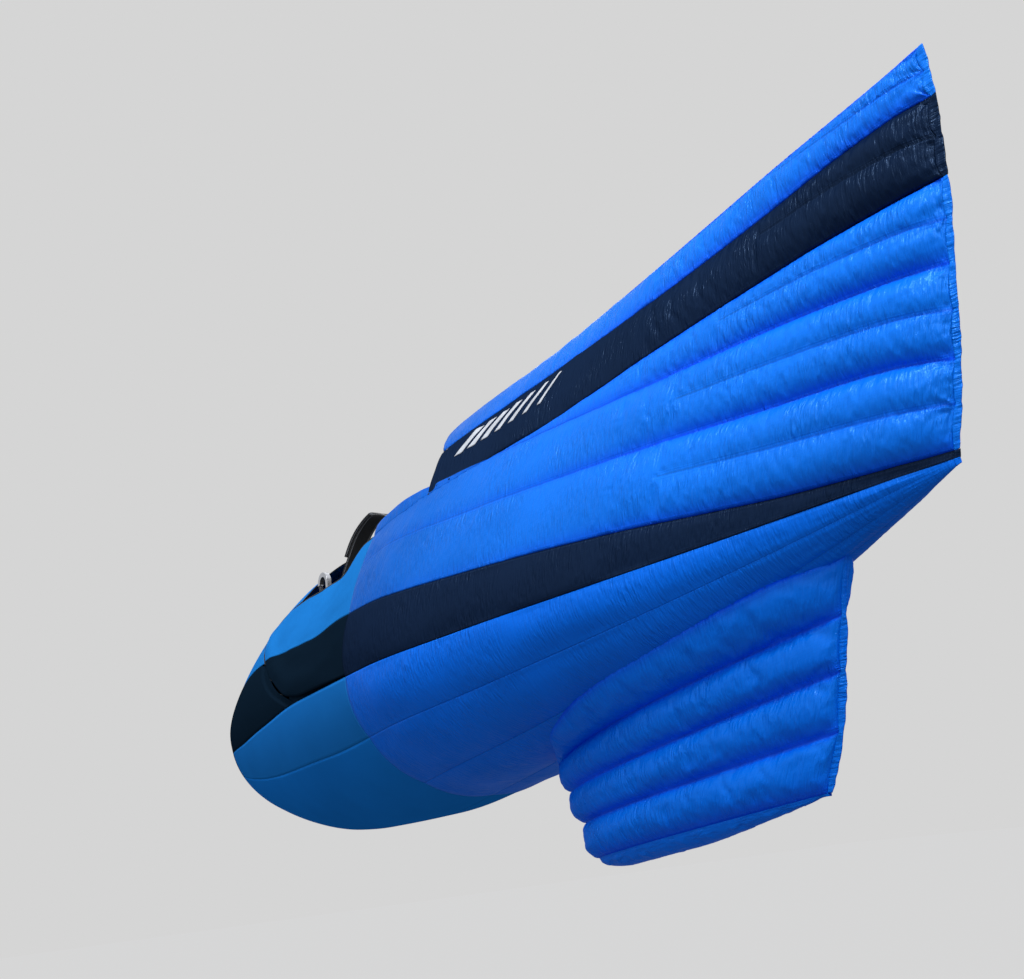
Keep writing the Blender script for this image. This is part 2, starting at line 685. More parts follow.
class Mat:
    """A material's node tree, with its Principled shader already on the output."""

    def __init__(self, name):
        self.material = bpy.data.materials.new(name)
        self.material.use_nodes = True
        self.tree = self.material.node_tree
        self.tree.nodes.clear()
        self.output = self.add("ShaderNodeOutputMaterial")
        self.principled = self.add("ShaderNodeBsdfPrincipled")
        self.finish(self.principled.outputs[0])

    def add(self, kind, **settings):
        node = self.tree.nodes.new(kind)
        for name, value in settings.items():
            setattr(node, name, value)
        return node

    def link(self, source, target):
        self.tree.links.new(source, target)

    def feed(self, socket, value):
        """Links a socket or stores a plain value; a colour gets alpha 1."""
        if isinstance(value, bpy.types.NodeSocket):
            self.link(value, socket)
        elif isinstance(value, (tuple, list)):
            socket.default_value = (*value, 1)
        else:
            socket.default_value = value

    def set(self, **inputs):
        for name, value in inputs.items():
            self.feed(self.principled.inputs[name.replace("_", " ")], value)

    def finish(self, shader):
        self.link(shader, self.output.inputs["Surface"])
        return self.material

    def math(self, operation, a, b=0.0, c=0.0):
        node = self.add("ShaderNodeMath", operation=operation)
        for socket, value in zip(node.inputs, (a, b, c)):
            self.feed(socket, value)
        return node.outputs[0]

    def noise(self, vector, scale, detail=2.0, rough=.5, distortion=0.0):
        node = self.add("ShaderNodeTexNoise")
        node.inputs["Scale"].default_value = scale
        node.inputs["Detail"].default_value = detail
        node.inputs["Roughness"].default_value = rough
        node.inputs["Distortion"].default_value = distortion
        self.link(vector, node.inputs["Vector"])
        return node.outputs[0]

    def stretch(self, vector, x, y):
        node = self.add("ShaderNodeMapping")
        node.inputs["Scale"].default_value = (x, y, 1)
        self.link(vector, node.inputs["Vector"])
        return node.outputs[0]

    def attribute(self, name):
        return self.add("ShaderNodeAttribute", attribute_name=name).outputs["Fac"]

    def object_place(self):
        return self.add("ShaderNodeTexCoord").outputs["Object"]

    def split(self, vector):
        node = self.add("ShaderNodeSeparateXYZ")
        self.link(vector, node.inputs[0])
        return node.outputs

    def uv(self):
        vector = self.add("ShaderNodeUVMap").outputs[0]
        axes = self.split(vector)
        return vector, axes[0], axes[1]

    def ramp(self, factor, *stops):
        """Ramp through (position, colour or grey value) stops."""
        node = self.add("ShaderNodeValToRGB")
        elements = node.color_ramp.elements
        while len(elements) < len(stops):
            elements.new(.5)
        for element, (position, color) in zip(elements, stops):
            element.position = position
            element.color = (*color, 1) if isinstance(color, tuple) else (color,) * 3 + (1,)
        self.feed(node.inputs[0], factor)
        return node.outputs[0]

    def mix(self, factor, first, second, strength=None):
        if strength is not None:
            factor = self.math("MULTIPLY", factor, strength)
        node = self.add("ShaderNodeMix", data_type="RGBA")
        for socket, value in ((0, factor), (6, first), (7, second)):
            self.feed(node.inputs[socket], value)
        return node.outputs[2]

    def line(self, value, period, width):
        """1 on a thin line every period, 0 between."""
        part = self.math("FRACT", self.math("DIVIDE", value, period))
        off = self.math("ABSOLUTE", self.math("SUBTRACT", part, .5))
        return self.math("GREATER_THAN", off, .5 - width / period / 2)

    def map_smooth(self, value, source, target):
        """Smooth step from the source range to the target range."""
        node = self.add("ShaderNodeMapRange", interpolation_type="SMOOTHSTEP")
        self.link(value, node.inputs[0])
        for socket, limit in enumerate((*source, *target), 1):
            node.inputs[socket].default_value = limit
        return node.outputs[0]

    def band(self, value, centre, half, soft):
        """1 where value is within half of centre, softly."""
        off = self.math("ABSOLUTE", self.math("SUBTRACT", value, centre))
        return self.map_smooth(off, (half, half + soft), (1, 0))

    def stitch(self, edge, along, offset, half, pitch):
        """A row of stitches at a set distance from a panel's edge."""
        row = self.band(self.attribute(edge), offset, half, soft=.0005)
        part = self.math("FRACT", self.math("DIVIDE", along, pitch))
        return self.math("MULTIPLY", row, self.math("LESS_THAN", part, .68))

    def stitches(self, u, v, **sizes):
        """Stitch rows along both kinds of edge."""
        return self.math("MAXIMUM", self.stitch("edge", u, **sizes),
                         self.stitch("edge_u", v, **sizes))

    def bump(self, height, distance, strength, under=None):
        node = self.add("ShaderNodeBump")
        node.inputs["Strength"].default_value = strength
        node.inputs["Distance"].default_value = distance
        self.link(height, node.inputs["Height"])
        if under is not None:
            self.link(under, node.inputs["Normal"])
        return node.outputs[0]

    def bevel(self, radius):
        node = self.add("ShaderNodeBevel", samples=4)
        node.inputs["Radius"].default_value = radius
        return node.outputs[0]

    def glossy(self, color, roughness, normal):
        node = self.add("ShaderNodeBsdfGlossy")
        node.inputs["Color"].default_value = (*color, 1)
        node.inputs["Roughness"].default_value = roughness
        self.link(normal, node.inputs["Normal"])
        return node.outputs[0]

    def blend(self, first, second, share):
        """Two shaders, the second with the given share."""
        node = self.add("ShaderNodeMixShader")
        node.inputs[0].default_value = share
        self.link(first, node.inputs[1])
        self.link(second, node.inputs[2])
        return node.outputs[0]


# ------------------------------------------------------------------ material kinds
def ripstop(name, base, rough=.42, thread=None, specular=.02, gloss=.042,
            tint=(.10, .42, 1.0), glow=.0, line=.45, deep=.0):
    """Calendered ripstop: square grid of thick threads, crinkled shine, stitched edges.

    line is the strength of the seam marks, deep how much it darkens towards the front.
    """
    m = Mat(name)
    uv, u, v = m.uv()
    grid = m.math("MAXIMUM", m.line(u, period=.0052, width=.0006),
                  m.line(v, period=.0052, width=.0006))
    broad = m.noise(uv, scale=3.2, detail=3)
    medium = m.noise(uv, scale=26, detail=4, rough=.6)
    color = m.ramp(broad, (.30, tone(base, .86)), (.52, base), (.75, tone(base, 1.08)))
    color = m.mix(grid, color, tone(base, .688), strength=.22)
    # the dye deepens towards the front of the tail
    x = m.split(m.object_place())[0]
    front = m.map_smooth(x, source=(-1.10, -.46), target=(0.0, deep))
    color = m.mix(front, color, (0.0, 0.0, 0.0))
    # dark crease on the seam, blue shade in the valleys beside it, stitches
    edge = m.attribute("edge")
    crease = m.band(edge, centre=0, half=.0005, soft=.0022)
    color = m.mix(crease, color, tone(base, .35), strength=line)
    color = m.mix(m.attribute("vale"), color, (0.0, base[1] * .30, min(1.0, base[2] * 1.12)),
                  strength=.80)
    stitches = m.stitches(u, v, offset=.0040, half=.0004, pitch=.0042)
    color = m.mix(stitches, color, thread or tone(base, 1.35), strength=line * .66)
    roughness = m.ramp(medium, (.30, rough - .08), (.70, rough + .12))
    # relief: threads, crinkle, patches of fine gathers, felled seam
    normal = m.bump(m.math("MULTIPLY", grid, .35), distance=.00018, strength=.5)
    crinkle = m.math("ADD", m.noise(uv, scale=70, detail=5, rough=.62, distortion=.6),
                     m.math("MULTIPLY", m.noise(uv, scale=210, detail=3), .35))
    normal = m.bump(crinkle, distance=.0012, strength=.34, under=normal)
    fine = m.noise(m.stretch(uv, 190, 34), scale=1.0, distortion=.25)
    patches = m.ramp(m.noise(m.stretch(uv, 9, 14), scale=1.0), (.35, .25), (.65, 1))
    puckers = m.math("MULTIPLY", m.math("SUBTRACT", fine, .5), patches)
    normal = m.bump(puckers, distance=.0052, strength=1.15, under=normal)
    fell = m.band(edge, centre=.0034, half=.0030, soft=.0014)
    seam = m.math("ADD", m.math("MULTIPLY", fell, .5), m.math("MULTIPLY", stitches, -.5))
    normal = m.bump(seam, distance=.0006, strength=.6 * min(1, line / .3), under=normal)
    m.set(Base_Color=color, Roughness=roughness, Normal=normal, Specular_IOR_Level=specular,
          Sheen_Weight=.0, Sheen_Roughness=.45, Coat_Weight=.0, Coat_Roughness=.28,
          Emission_Color=(0, .08, 1), Emission_Strength=glow)
    # light that comes through the thin cloth, then a tinted shine on top
    through = m.add("ShaderNodeBsdfTranslucent")
    m.link(color, through.inputs["Color"])
    body = m.blend(m.principled.outputs[0], through.outputs[0], share=.06)
    shine = m.glossy(tint, roughness=.28, normal=normal)
    return m.finish(m.blend(body, shine, share=gloss))


def jersey(name, base):
    """Stretch jersey: fine knit ribs, matte, with a faint blue shine."""
    m = Mat(name)
    uv, u, v = m.uv()
    rib = .0011
    broad = m.noise(uv, scale=4.0, detail=3)
    color = m.ramp(broad, (.30, tone(base, .90)), (.55, base), (.78, tone(base, 1.08)))
    wave_u = m.math("SINE", m.math("MULTIPLY", u, 2 * math.pi / rib))
    wave_v = m.math("SINE", m.math("MULTIPLY", v, 2 * math.pi / (rib * 1.6)))
    knit = m.math("MULTIPLY", m.math("ADD", wave_u, 1.2), m.math("ADD", wave_v, 1.2))
    color = m.mix(knit, color, tone(base, 1.5), strength=.035)
    edge = m.attribute("edge")
    stitches = m.stitches(u, v, offset=.0036, half=.0006, pitch=.0034)
    color = m.mix(m.band(edge, centre=0, half=.0005, soft=.0022), color, tone(base, .45),
                  strength=.22)
    color = m.mix(stitches, color, tone(base, 1.5), strength=.25)
    normal = m.bump(knit, distance=.00014, strength=.35)
    normal = m.bump(m.noise(uv, scale=38, detail=3), distance=.0012, strength=.16, under=normal)
    normal = m.bump(m.band(edge, centre=.003, half=.0028, soft=.0012), distance=.0006,
                    strength=.22, under=normal)
    m.set(Base_Color=color, Roughness=.78, Normal=normal, Specular_IOR_Level=.0)
    shine = m.glossy((.22, .60, 1.0), roughness=.55, normal=normal)
    return m.finish(m.blend(m.principled.outputs[0], shine, share=.012))


def woven(name, base, pitch, rough=.72, contrast=.35, thread=None, by_object=False):
    """Plain weave, laid by UV or, for meshes without one, by place in the object."""
    m = Mat(name)
    if by_object:
        vector = m.object_place()
        x, v, z = m.split(vector)[:3]
        # unit vector (.62, -.80) in x and z runs roughly along the seat's back
        u = m.math("MULTIPLY_ADD", x, .62, m.math("MULTIPLY", z, -.80))
    else:
        vector, u, v = m.uv()
    wave_u = m.math("SINE", m.math("MULTIPLY", u, math.pi / pitch))
    wave_v = m.math("SINE", m.math("MULTIPLY", v, math.pi / pitch))
    weave = m.math("MULTIPLY", wave_u, wave_v)
    color = m.ramp(m.noise(vector, scale=60, detail=4, rough=.6),
                   (.25, tone(base, .75)), (.75, tone(base, 1.25)))
    color = m.mix(m.math("ADD", weave, 1), color, tone(base, 1.9), strength=contrast * .5)
    stitches = m.stitch("edge", u, offset=.0028, half=.0006, pitch=.0036)
    color = m.mix(stitches, color, thread or tone(base, 3.0), strength=.8)
    normal = m.bump(weave, distance=.0004, strength=.8)
    normal = m.bump(stitches, distance=.0006, strength=.7, under=normal)
    m.set(Base_Color=color, Roughness=rough, Normal=normal, Specular_IOR_Level=.25,
          Sheen_Weight=.2)
    return m.material


def metal(name, base, rough):
    m = Mat(name)
    place_in = m.object_place()
    grain = m.noise(place_in, scale=260, detail=4, rough=.6)
    fine = m.noise(place_in, scale=1400)
    wear = m.noise(place_in, scale=45, detail=5, rough=.65)
    color = m.ramp(wear, (.35, tone(base, .86)), (.62, base), (.80, tone(base, 1.12)))
    roughness = m.ramp(grain, (.3, rough * .8), (.7, rough * 1.35))
    normal = m.bump(fine, distance=.0001, strength=.25, under=m.bevel(.0009))
    m.set(Base_Color=color, Roughness=roughness, Metallic=1.0, Normal=normal)
    return m.material


def plastic(name, base, rough=.45, grain=900):
    m = Mat(name)
    place_in = m.object_place()
    fine = m.noise(place_in, scale=grain, detail=3, rough=.6)
    broad = m.noise(place_in, scale=30, detail=4, rough=.6)
    color = m.ramp(broad, (.3, tone(base, .85)), (.7, tone(base, 1.15)))
    normal = m.bump(fine, distance=.00025, strength=.35, under=m.bevel(.0010))
    roughness = m.ramp(fine, (.3, rough - .08), (.7, rough + .12))
    m.set(Base_Color=color, Roughness=roughness, Normal=normal)
    return m.material


def carbon(name):
    """Diagonal checker in y and z under a clear coat."""
    m = Mat(name)
    place_in = m.object_place()
    axes = m.split(place_in)
    tow = .004

    def strips(operation):
        diagonal = m.math(operation, axes[1], axes[2])
        part = m.math("FRACT", m.math("DIVIDE", diagonal, tow * 2))
        return m.math("GREATER_THAN", part, .5)
    up = strips("ADD")
    checker = m.math("ABSOLUTE", m.math("SUBTRACT", up, strips("SUBTRACT")))
    color = m.mix(checker, (.012, .012, .014), (.045, .046, .05))
    normal = m.bevel(.001)
    roughness = m.ramp(m.noise(place_in, scale=90, detail=3), (.3, .16), (.7, .30))
    m.set(Base_Color=color, Roughness=roughness, Normal=normal, Coat_Weight=.6,
          Coat_Roughness=.1)
    return m.material


MATS = dict(
    rip=ripstop("ripstop_blue", srgb("#086EE2"), glow=.030, tint=(.14, .46, 1.0), deep=.34),
    rip_low=ripstop("ripstop_blue_under", srgb("#0467E2"), glow=.020, line=.13),
    rip_fin=ripstop("ripstop_blue_fin", srgb("#0063CC"), glow=.090, tint=(.16, .46, 1.0)),
    navy=ripstop("ripstop_navy", srgb("#0A1A34"), rough=.46, thread=srgb("#2A3A56"),
                 specular=.0, gloss=.017, tint=(.32, .54, .98)),
    # a lighter edge cloth in the set, which no piece wears
    tape=ripstop("ripstop_edge", srgb("#0C66D8"), thread=srgb("#8FB8F0")),
    rib=ripstop("ripstop_rib", srgb("#D5DAE2"), thread=srgb("#F4F4F4")),
    jersey_up=jersey("jersey_upper", srgb("#1A72C2")),
    jersey_mid=jersey("jersey_side", srgb("#166ABA")),
    jersey_low=jersey("jersey_belly", srgb("#126CC4")),
    jersey_black=jersey("jersey_black", srgb("#07121F")),
    seat=woven("cordura_seat", srgb("#23262C"), pitch=.0012),
    pad_obj=woven("cordura_pad", srgb("#343842"), pitch=.0022, by_object=True),
    pile=plastic("loop_pile", srgb("#26282C"), rough=.9, grain=1800),
    print=plastic("screen_print", srgb("#AEB4BE"), rough=.55, grain=1400),
    coated=woven("coated_nylon", srgb("#2C2F36"), pitch=.0008, rough=.5),
    web=woven("webbing", srgb("#15171A"), pitch=.0018, rough=.68, contrast=.45,
              thread=srgb("#8A8F98")),
    web_red=woven("webbing_red", srgb("#B01810"), pitch=.0018, rough=.62, contrast=.4,
                  thread=srgb("#E8E0D0")),
    orange=ripstop("canopy_cloth", srgb("#E0661C")),
    cord=woven("braid", srgb("#C8BE46"), pitch=.0012, rough=.7, contrast=.6),
    alloy=metal("alloy_satin", srgb("#B9BBC0"), rough=.30),
    alloy_dark=metal("alloy_dark", srgb("#4A4C52"), rough=.34),
    steel=metal("steel_polished", srgb("#C4C4C8"), rough=.22),
    plastic=plastic("plastic_black", srgb("#17181B")),
    red=plastic("plastic_red", srgb("#B5190F"), rough=.40),
    bind=plastic("binding_tape", srgb("#05080C"), rough=.9, grain=1800),
    coat=plastic("magnet_coat", srgb("#0B0F15"), rough=.62),
    acetal=plastic("acetal_white", srgb("#D8D8D2"), rough=.35),
    rod=plastic("nylon_rod", srgb("#D6D8D2"), rough=.30),
    carbon=carbon("carbon_weave"),
)


# ------------------------------------------------------------------ inflated hull cells
# Upper tail cells between two main seams. A half seam starts mid-cell at the tail's edge and
# drifts to end_share of the cell at x = length.
Cell = namedtuple("Cell", "low high end_share length strength")
CELLS = [
    Cell(stripe_high, lower_seam, .54, .50, 1.0),
    Cell(lower_seam, upper_seam, .53, .48, 1.0),
    Cell(upper_seam, dorsal_low, .65, .41, 1.0),
    Cell(dorsal_low, dorsal_high, .70, .33, .8),
    Cell(dorsal_high, level(2.0), .84, .29, .6),
]


def half_seam(cell, x):
    low, high = cell.low(x), cell.high(x)
    share = .5 + (cell.end_share - .5) * np.clip(x / cell.length, 0, 1)
    return low + (high - low) * share


def cell_bulge(x, v):
    """Bulge of the upper tail's cells, and the distance to the nearest seam."""
    bulge = np.zeros_like(x)
    near = np.full_like(x, 9.0)
    height = height_above(x)
    for number, cell in enumerate(CELLS):
        low, high = cell.low(x), cell.high(x)
        seam = half_seam(cell, x)
        share = (v - low) / np.maximum(high - low, 1e-6)
        inside = (share >= 0) & (share <= 1)
        main = np.interp(x, [0, .15, .45, .8, 1.1, 1.36], [1, .95, .60, .26, .12, .06])
        if number >= 3:
            main = np.maximum(main, .42)
        half = np.power(np.clip(1 - x / cell.length, 0, 1), .65)
        half_share = np.where(v < seam, (v - low) / np.maximum(seam - low, 1e-6),
                              (v - seam) / np.maximum(high - seam, 1e-6))
        half_wide = np.where(v < seam, (seam - low) * height, (high - seam) * height)
        main_rise = main * (1 - .40 * half) * .150 * (high - low) * height
        rise = cell.strength * (main_rise * pillow(share, 2.2, .66)
                                + half * .120 * half_wide * pillow(half_share, 2.0, .70))
        bulge = np.where(inside, rise, bulge)
        dist = np.minimum(np.abs(v - low), np.abs(high - v)) * height
        half_dist = np.abs(v - seam) * height + (1 - half) * .05
        dist = np.where(half > .05, np.minimum(dist, half_dist), dist)
        near = np.where(inside, np.minimum(near, dist), near)
    return bulge, near


def belly_bulge(x, v):
    """Long lower cells between the keel, two seams and the side stripe."""
    seams = [np.zeros_like(x), np.full_like(x, 1 / 3), np.full_like(x, 2 / 3), stripe_low(x)]
    bulge = np.zeros_like(x)
    near = np.full_like(x, 9.0)
    girth = (half_width(x) + depth_below(x)) / 2 * nose_taper(x) * math.pi / 2
    fade = np.interp(x, [0, .1, 1.2, 1.36, 1.42, 2.7], [.6, 1, .80, .42, .07, .04])
    for low, high in zip(seams[:-1], seams[1:]):
        share = (v - low) / np.maximum(high - low, 1e-6)
        inside = (share >= 0) & (share <= 1)
        rise = .055 * (high - low) * girth * pillow(share, 2.2, 1.2) * fade
        bulge = np.where(inside, rise, bulge)
        near = np.where(inside, np.minimum(np.abs(v - low), np.abs(high - v)) * girth, near)
    return bulge, near


def stripe_bulge(x, v):
    low, high = stripe_low(x), stripe_high(x)
    metres_per_v = .45
    fade = np.interp(x, [0, .2, 1.36, 1.5, 2.7], [.5, 1, .8, .3, .15])
    rise = .06 * (high - low) * metres_per_v * pillow((v - low) / (high - low), 2.2, .75)
    return rise * fade, np.minimum(v - low, high - v) * metres_per_v


def hull_cloth(x, v, kind, side, seed):
    """Bulged and wrinkled cloth of the belly or the side stripe, CAD frame."""
    belly = kind == "belly"
    bulge, near = belly_bulge(x, v) if belly else stripe_bulge(x, v)
    behind = np.clip(x - TAIL_START, 0, None)
    across = v * .3 if belly else (v - 1) * .58
    # the inflated rear is wrinkled, the stretched front almost smooth
    rear = 1 - ease((x - 1.33) / .03)
    wrinkle = (.00115 * gathers(x, near, seed, wave=.0105, reach=.022)
               * np.clip(bulge / .004, .25, 1)
               + .0007 * gathers(x, near, seed + 3, wave=.0060, reach=.045)
               + .0011 * edge_folds(across, behind, seed, wave=.0145, reach=.040)
               + .0011 * noise_field(seed)(x / .035 + 3, across / .018) * np.exp(-behind / .25)
               + .0016 * noise_field(seed + 2)(x / .11, across / .05))
    wrinkle = wrinkle * rear * ease(near / .012)
    front = NOISE[4 if side > 0 else 10](x / .16, v / .28) * ease((x - 1.36) / .05)
    wrinkle = wrinkle + (1 - rear) * .0009 * front
    if belly:
        wrinkle = wrinkle * ease(v / .07)
    rise = bulge * (.15 + .85 * np.sqrt(np.clip(behind / .06, 0, 1)))
    base = skin(x, v)
    points = base + skin_normal(x, v) * (rise + wrinkle * ease(behind / .020))[..., None]
    if belly:
        # both halves meet in the middle plane
        hold = np.clip(v / .06, 0, 1)
        points[..., 1] = base[..., 1] + (points[..., 1] - base[..., 1]) * hold
    return flip_y(points, side) - ORIGIN


def hull_panel(name, node, xs, low, high, count, kind, side, seed, mat):
    first, last = low(xs), high(xs)
    v = first[:, None] + (last - first)[:, None] * np.linspace(0, 1, count)[None, :]
    x = np.broadcast_to(xs[:, None], v.shape)
    points = hull_cloth(x, v, kind, side, seed)
    cloth_panel(name, points, flip_y(skin_normal(x, v), side), mat, node)


def build_rear_panels():
    """Side stripe and belly panels behind the cross seam."""
    share = np.linspace(0, 1, pick(220))
    xs = TAIL_START + (REAR_END - TAIL_START) * (.30 * share + .70 * share ** 2.2)
    for side, label, shift in SIDES:
        # name, node, low seam, high seam, columns, kind, seed, material, slot
        for name, node, low, high, count, kind, seed, mat, slot in (
                ("side_stripe", "side_stripe_" + label, stripe_low, stripe_high, pick(26),
                 "stripe", 2, "navy", "ripstop_navy"),
                ("belly_upper", "belly_side_" + label, level(2 / 3), stripe_low, pick(36),
                 "belly", 3, "rip_low", "ripstop_blue"),
                ("belly_lower", "belly_side_" + label, level(1 / 3), level(2 / 3),
                 pick(36), "belly", 4, "rip_low", "ripstop_blue"),
                ("belly_keel", "belly_centre", level(0.0), level(1 / 3), pick(26),
                 "belly", 5, "rip_low", "ripstop_blue")):
            hull_panel("%s_%s_cloth" % (name, label), node, xs, low, high, count, kind, side,
                       seed + shift, mat)


# ------------------------------------------------------------------ inflated upper tail
HALF_STEPS = pick(17)          # grid columns in half a cell
SIM_ROWS = pick(185)
PLAIN_ROWS = pick(100)
SIM_END = .72                     # x where the simulated rows end
Column = namedtuple("Column", "cell half share")
COLUMNS = [Column(cell, half, step / HALF_STEPS)
           for cell in range(5) for half in (0, 1) for step in range(HALF_STEPS)]
COLUMNS.append(Column(4, 1, 1.0))
COLUMN_CELL = np.array([column.cell for column in COLUMNS])
COLUMN_SHARE = np.array([column.share for column in COLUMNS])
# name, node, first cell, last cell, material, slot, ends at the hood, noise seed
TAIL_PARTS = (
    ("tail_side", "tail_side_%s", 0, 2, "rip", "ripstop_blue", False, 1),
    ("dorsal_stripe", "dorsal_stripe_%s", 3, 3, "navy", "ripstop_navy", True, 7),
    ("dorsal_crown", "dorsal_crown", 4, 4, "rip", "ripstop_blue", True, 8),
)


def column_grid(columns, x):
    """v of each column of the grid x."""
    result = []
    for j, column in enumerate(columns):
        cell = CELLS[column.cell]
        at = x[:, j]
        seam = half_seam(cell, at)
        if column.half == 0:
            low = cell.low(at)
            result.append(low + (seam - low) * column.share)
        else:
            result.append(seam + (cell.high(at) - seam) * column.share)
    return np.stack(result, 1)


def tail_cloth(x, v, seed):
    """Left tail points with their cells' bulge, CAD frame, and normals."""
    bulge, near = cell_bulge(x, v)
    behind = np.clip(x - TAIL_START, 0, None)
    normals = skin_normal(x, v)
    wrinkle = (.0010 * gathers(x, near, seed, wave=.0105, reach=.022)
               + .0007 * gathers(x, near, seed + 3, wave=.0060, reach=.045)
               + .0016 * noise_field(seed + 2)(x / .11, v * 11)
               + .0006 * noise_field(seed + 1)(x / .022, v * 9))
    wrinkle = wrinkle * ease((x - .50) / .20) * ease((1.36 - x) / .02)
    rise = bulge * 1.05 * np.sqrt(np.clip(behind / .05, 0, 1)) + wrinkle
    points = skin(x, v) + normals * rise[..., None] - ORIGIN
    points[..., 2] += .0055 * ease((v - 1.84) / .16) * ease((x - .04) / .3)
    return points, normals


def simulate_tail():
    """Settled points, x grid and v grid of the left tail near its edge."""
    share = np.linspace(0, 1, SIM_ROWS)
    rows = TAIL_START + (SIM_END - TAIL_START) * (.45 * share + .55 * share ** 2)
    x = np.repeat(rows[:, None], len(COLUMNS), 1)
    scallop = np.where(COLUMN_CELL >= 3, .0062, .0022) * pillow(COLUMN_SHARE, 2, .8)
    x = x + scallop[None] * np.exp(-(x - TAIL_START) / .030)
    v = column_grid(COLUMNS, x)
    start, normals = tail_cloth(x, v, 1)
    start[..., 0] += edge_set(v) * np.exp(-x / .12)
    pinned = np.zeros(x.shape, bool)
    pinned[0] = pinned[-1] = pinned[:, 0] = pinned[:, -1] = True
    for j, column in enumerate(COLUMNS):
        if column.share == 0:
            pinned[:, j] |= (column.half == 0) | (x[:, j] < CELLS[column.cell].length)
    settled = blow_up(start, pinned, normals, 0, 0, bending=.035)
    settled = start + (settled - start) * (1 - ease((x - .52) / .19))[..., None]
    # fine puckers along the seams and from the edge strip
    metres_per_v = height_above(x) * nose_taper(x)
    near = np.zeros_like(x)
    for j, column in enumerate(COLUMNS):
        first = j - int(round(column.share * HALF_STEPS))
        near[:, j] = np.minimum(v[:, j] - v[:, first], v[:, first + HALF_STEPS] - v[:, j])\
            if first + HALF_STEPS < len(COLUMNS) else 0
    near = np.abs(near * metres_per_v)
    behind = np.clip(x - TAIL_START, 0, None)
    folds = (.0011 * gathers(x, near, 1, wave=.0105, reach=.020)
             + .0008 * gathers(x, near, 6, wave=.0075, reach=.045)
             + .0016 * edge_folds(v * .58, behind, 2, wave=.0150, reach=.030)
             + .0008 * edge_folds(v * .58, behind, 7, wave=.0100, reach=.045)
             + .0007 * NOISE[4](x / .009, v * 9) * NOISE[6](x / .09, v * 7))
    for number, j in enumerate(range(0, len(COLUMNS), HALF_STEPS)):
        height = .0046 if number % 2 == 0 else .0030
        across = (v - v[:, j:j + 1]) * metres_per_v
        folds = folds + height * fan_folds(behind, across, 1 + number, reach=.026)
    folds = folds * ease(near / .0035) * ease(behind / .006) * (1 - ease((x - .60) / .10))
    settled = settled + normals * folds[..., None]
    settled[:, -1, 1] = 0
    settled[..., 1] = np.maximum(settled[..., 1], 0)
    return settled, x, v


def seam_attributes(points, columns, xs, is_blue):
    """Distance to the sewn lines, and the shaded valleys beside them."""
    across = across_length(points)
    edge = np.full(across.shape, .1)
    vale = np.zeros_like(edge)
    for j, column in enumerate(columns):
        if column.share == 1.0 or (column.share == 0.0 and column.half == 0):
            off = across - across[:, j:j + 1]
            edge = np.minimum(edge, np.abs(off))
            vale = np.maximum(vale, furrow(off, np.where(off >= 0, .0140, .0045)))
    fade = np.interp(xs, [0, .5, .9, 1.3], [1, 1, .35, .05])[:, None]
    vale = vale * fade * is_blue
    for j, column in enumerate(columns):
        if column.share == 0.0 and column.half == 1:
            length = CELLS[column.cell].length
            off = across - across[:, j:j + 1]
            half_fade = np.clip(1 - xs[:, None] / length, 0, 1)
            vale = np.maximum(vale, .45 * furrow(off, .006) * half_fade * is_blue)
            edge = np.minimum(edge, np.abs(off) + .05 * (xs[:, None] > length))
    return {"edge": edge, "edge_u": edges(points)["edge_u"], "vale": vale}


def build_tail(settled, x_sim):
    """Cloth of the upper tail: simulated rows, then plain rows up to the front edge."""
    share = np.linspace(0, 1, PLAIN_ROWS + 1)[1:]
    for name, node, cell_0, cell_1, mat, slot, at_hood, seed in TAIL_PARTS:
        first, last = cell_0 * 2 * HALF_STEPS, (cell_1 + 1) * 2 * HALF_STEPS
        columns = COLUMNS[first:last] + [Column(cell_1, 1, 1.0)]
        end = HOOD_START if at_hood else REAR_END
        straight = np.repeat((SIM_END + (end - SIM_END) * share)[:, None], len(columns), 1)
        x = straight.copy()
        if at_hood:
            # the hood edge depends on v, and v on x: three rounds settle it
            for _ in range(3):
                v = column_grid(columns, x)
                pull = ((straight - SIM_END) / (end - SIM_END)) ** 2
                x = straight + (hood_edge(v) - HOOD_START) * pull
        plain, _ = tail_cloth(x, column_grid(columns, x), seed)
        points = np.concatenate([settled[:, first:last + 1], plain], 0)
        points[..., 1] = np.maximum(points[..., 1], 0)
        if cell_1 == 4:
            points[:, -1, 1] = 0
        normals = unit(np.cross(np.gradient(points, axis=0), np.gradient(points, axis=1)))
        if normals[..., 1].mean() < 0:
            normals = -normals
        xs = np.concatenate([x_sim[:, 0], straight[:, 0]])
        attributes = seam_attributes(points, columns, xs, mat == "rip")
        inner = points - normals * CLOTH
        for side, label, _ in SIDES:
            ob = grid_mesh("%s_%s_cloth" % (name, label), flip_y(points, side),
                           flip_y(inner, side), arc_uv(points), mat, attributes)
            place(ob, "harness", node % label if "%" in node else node)


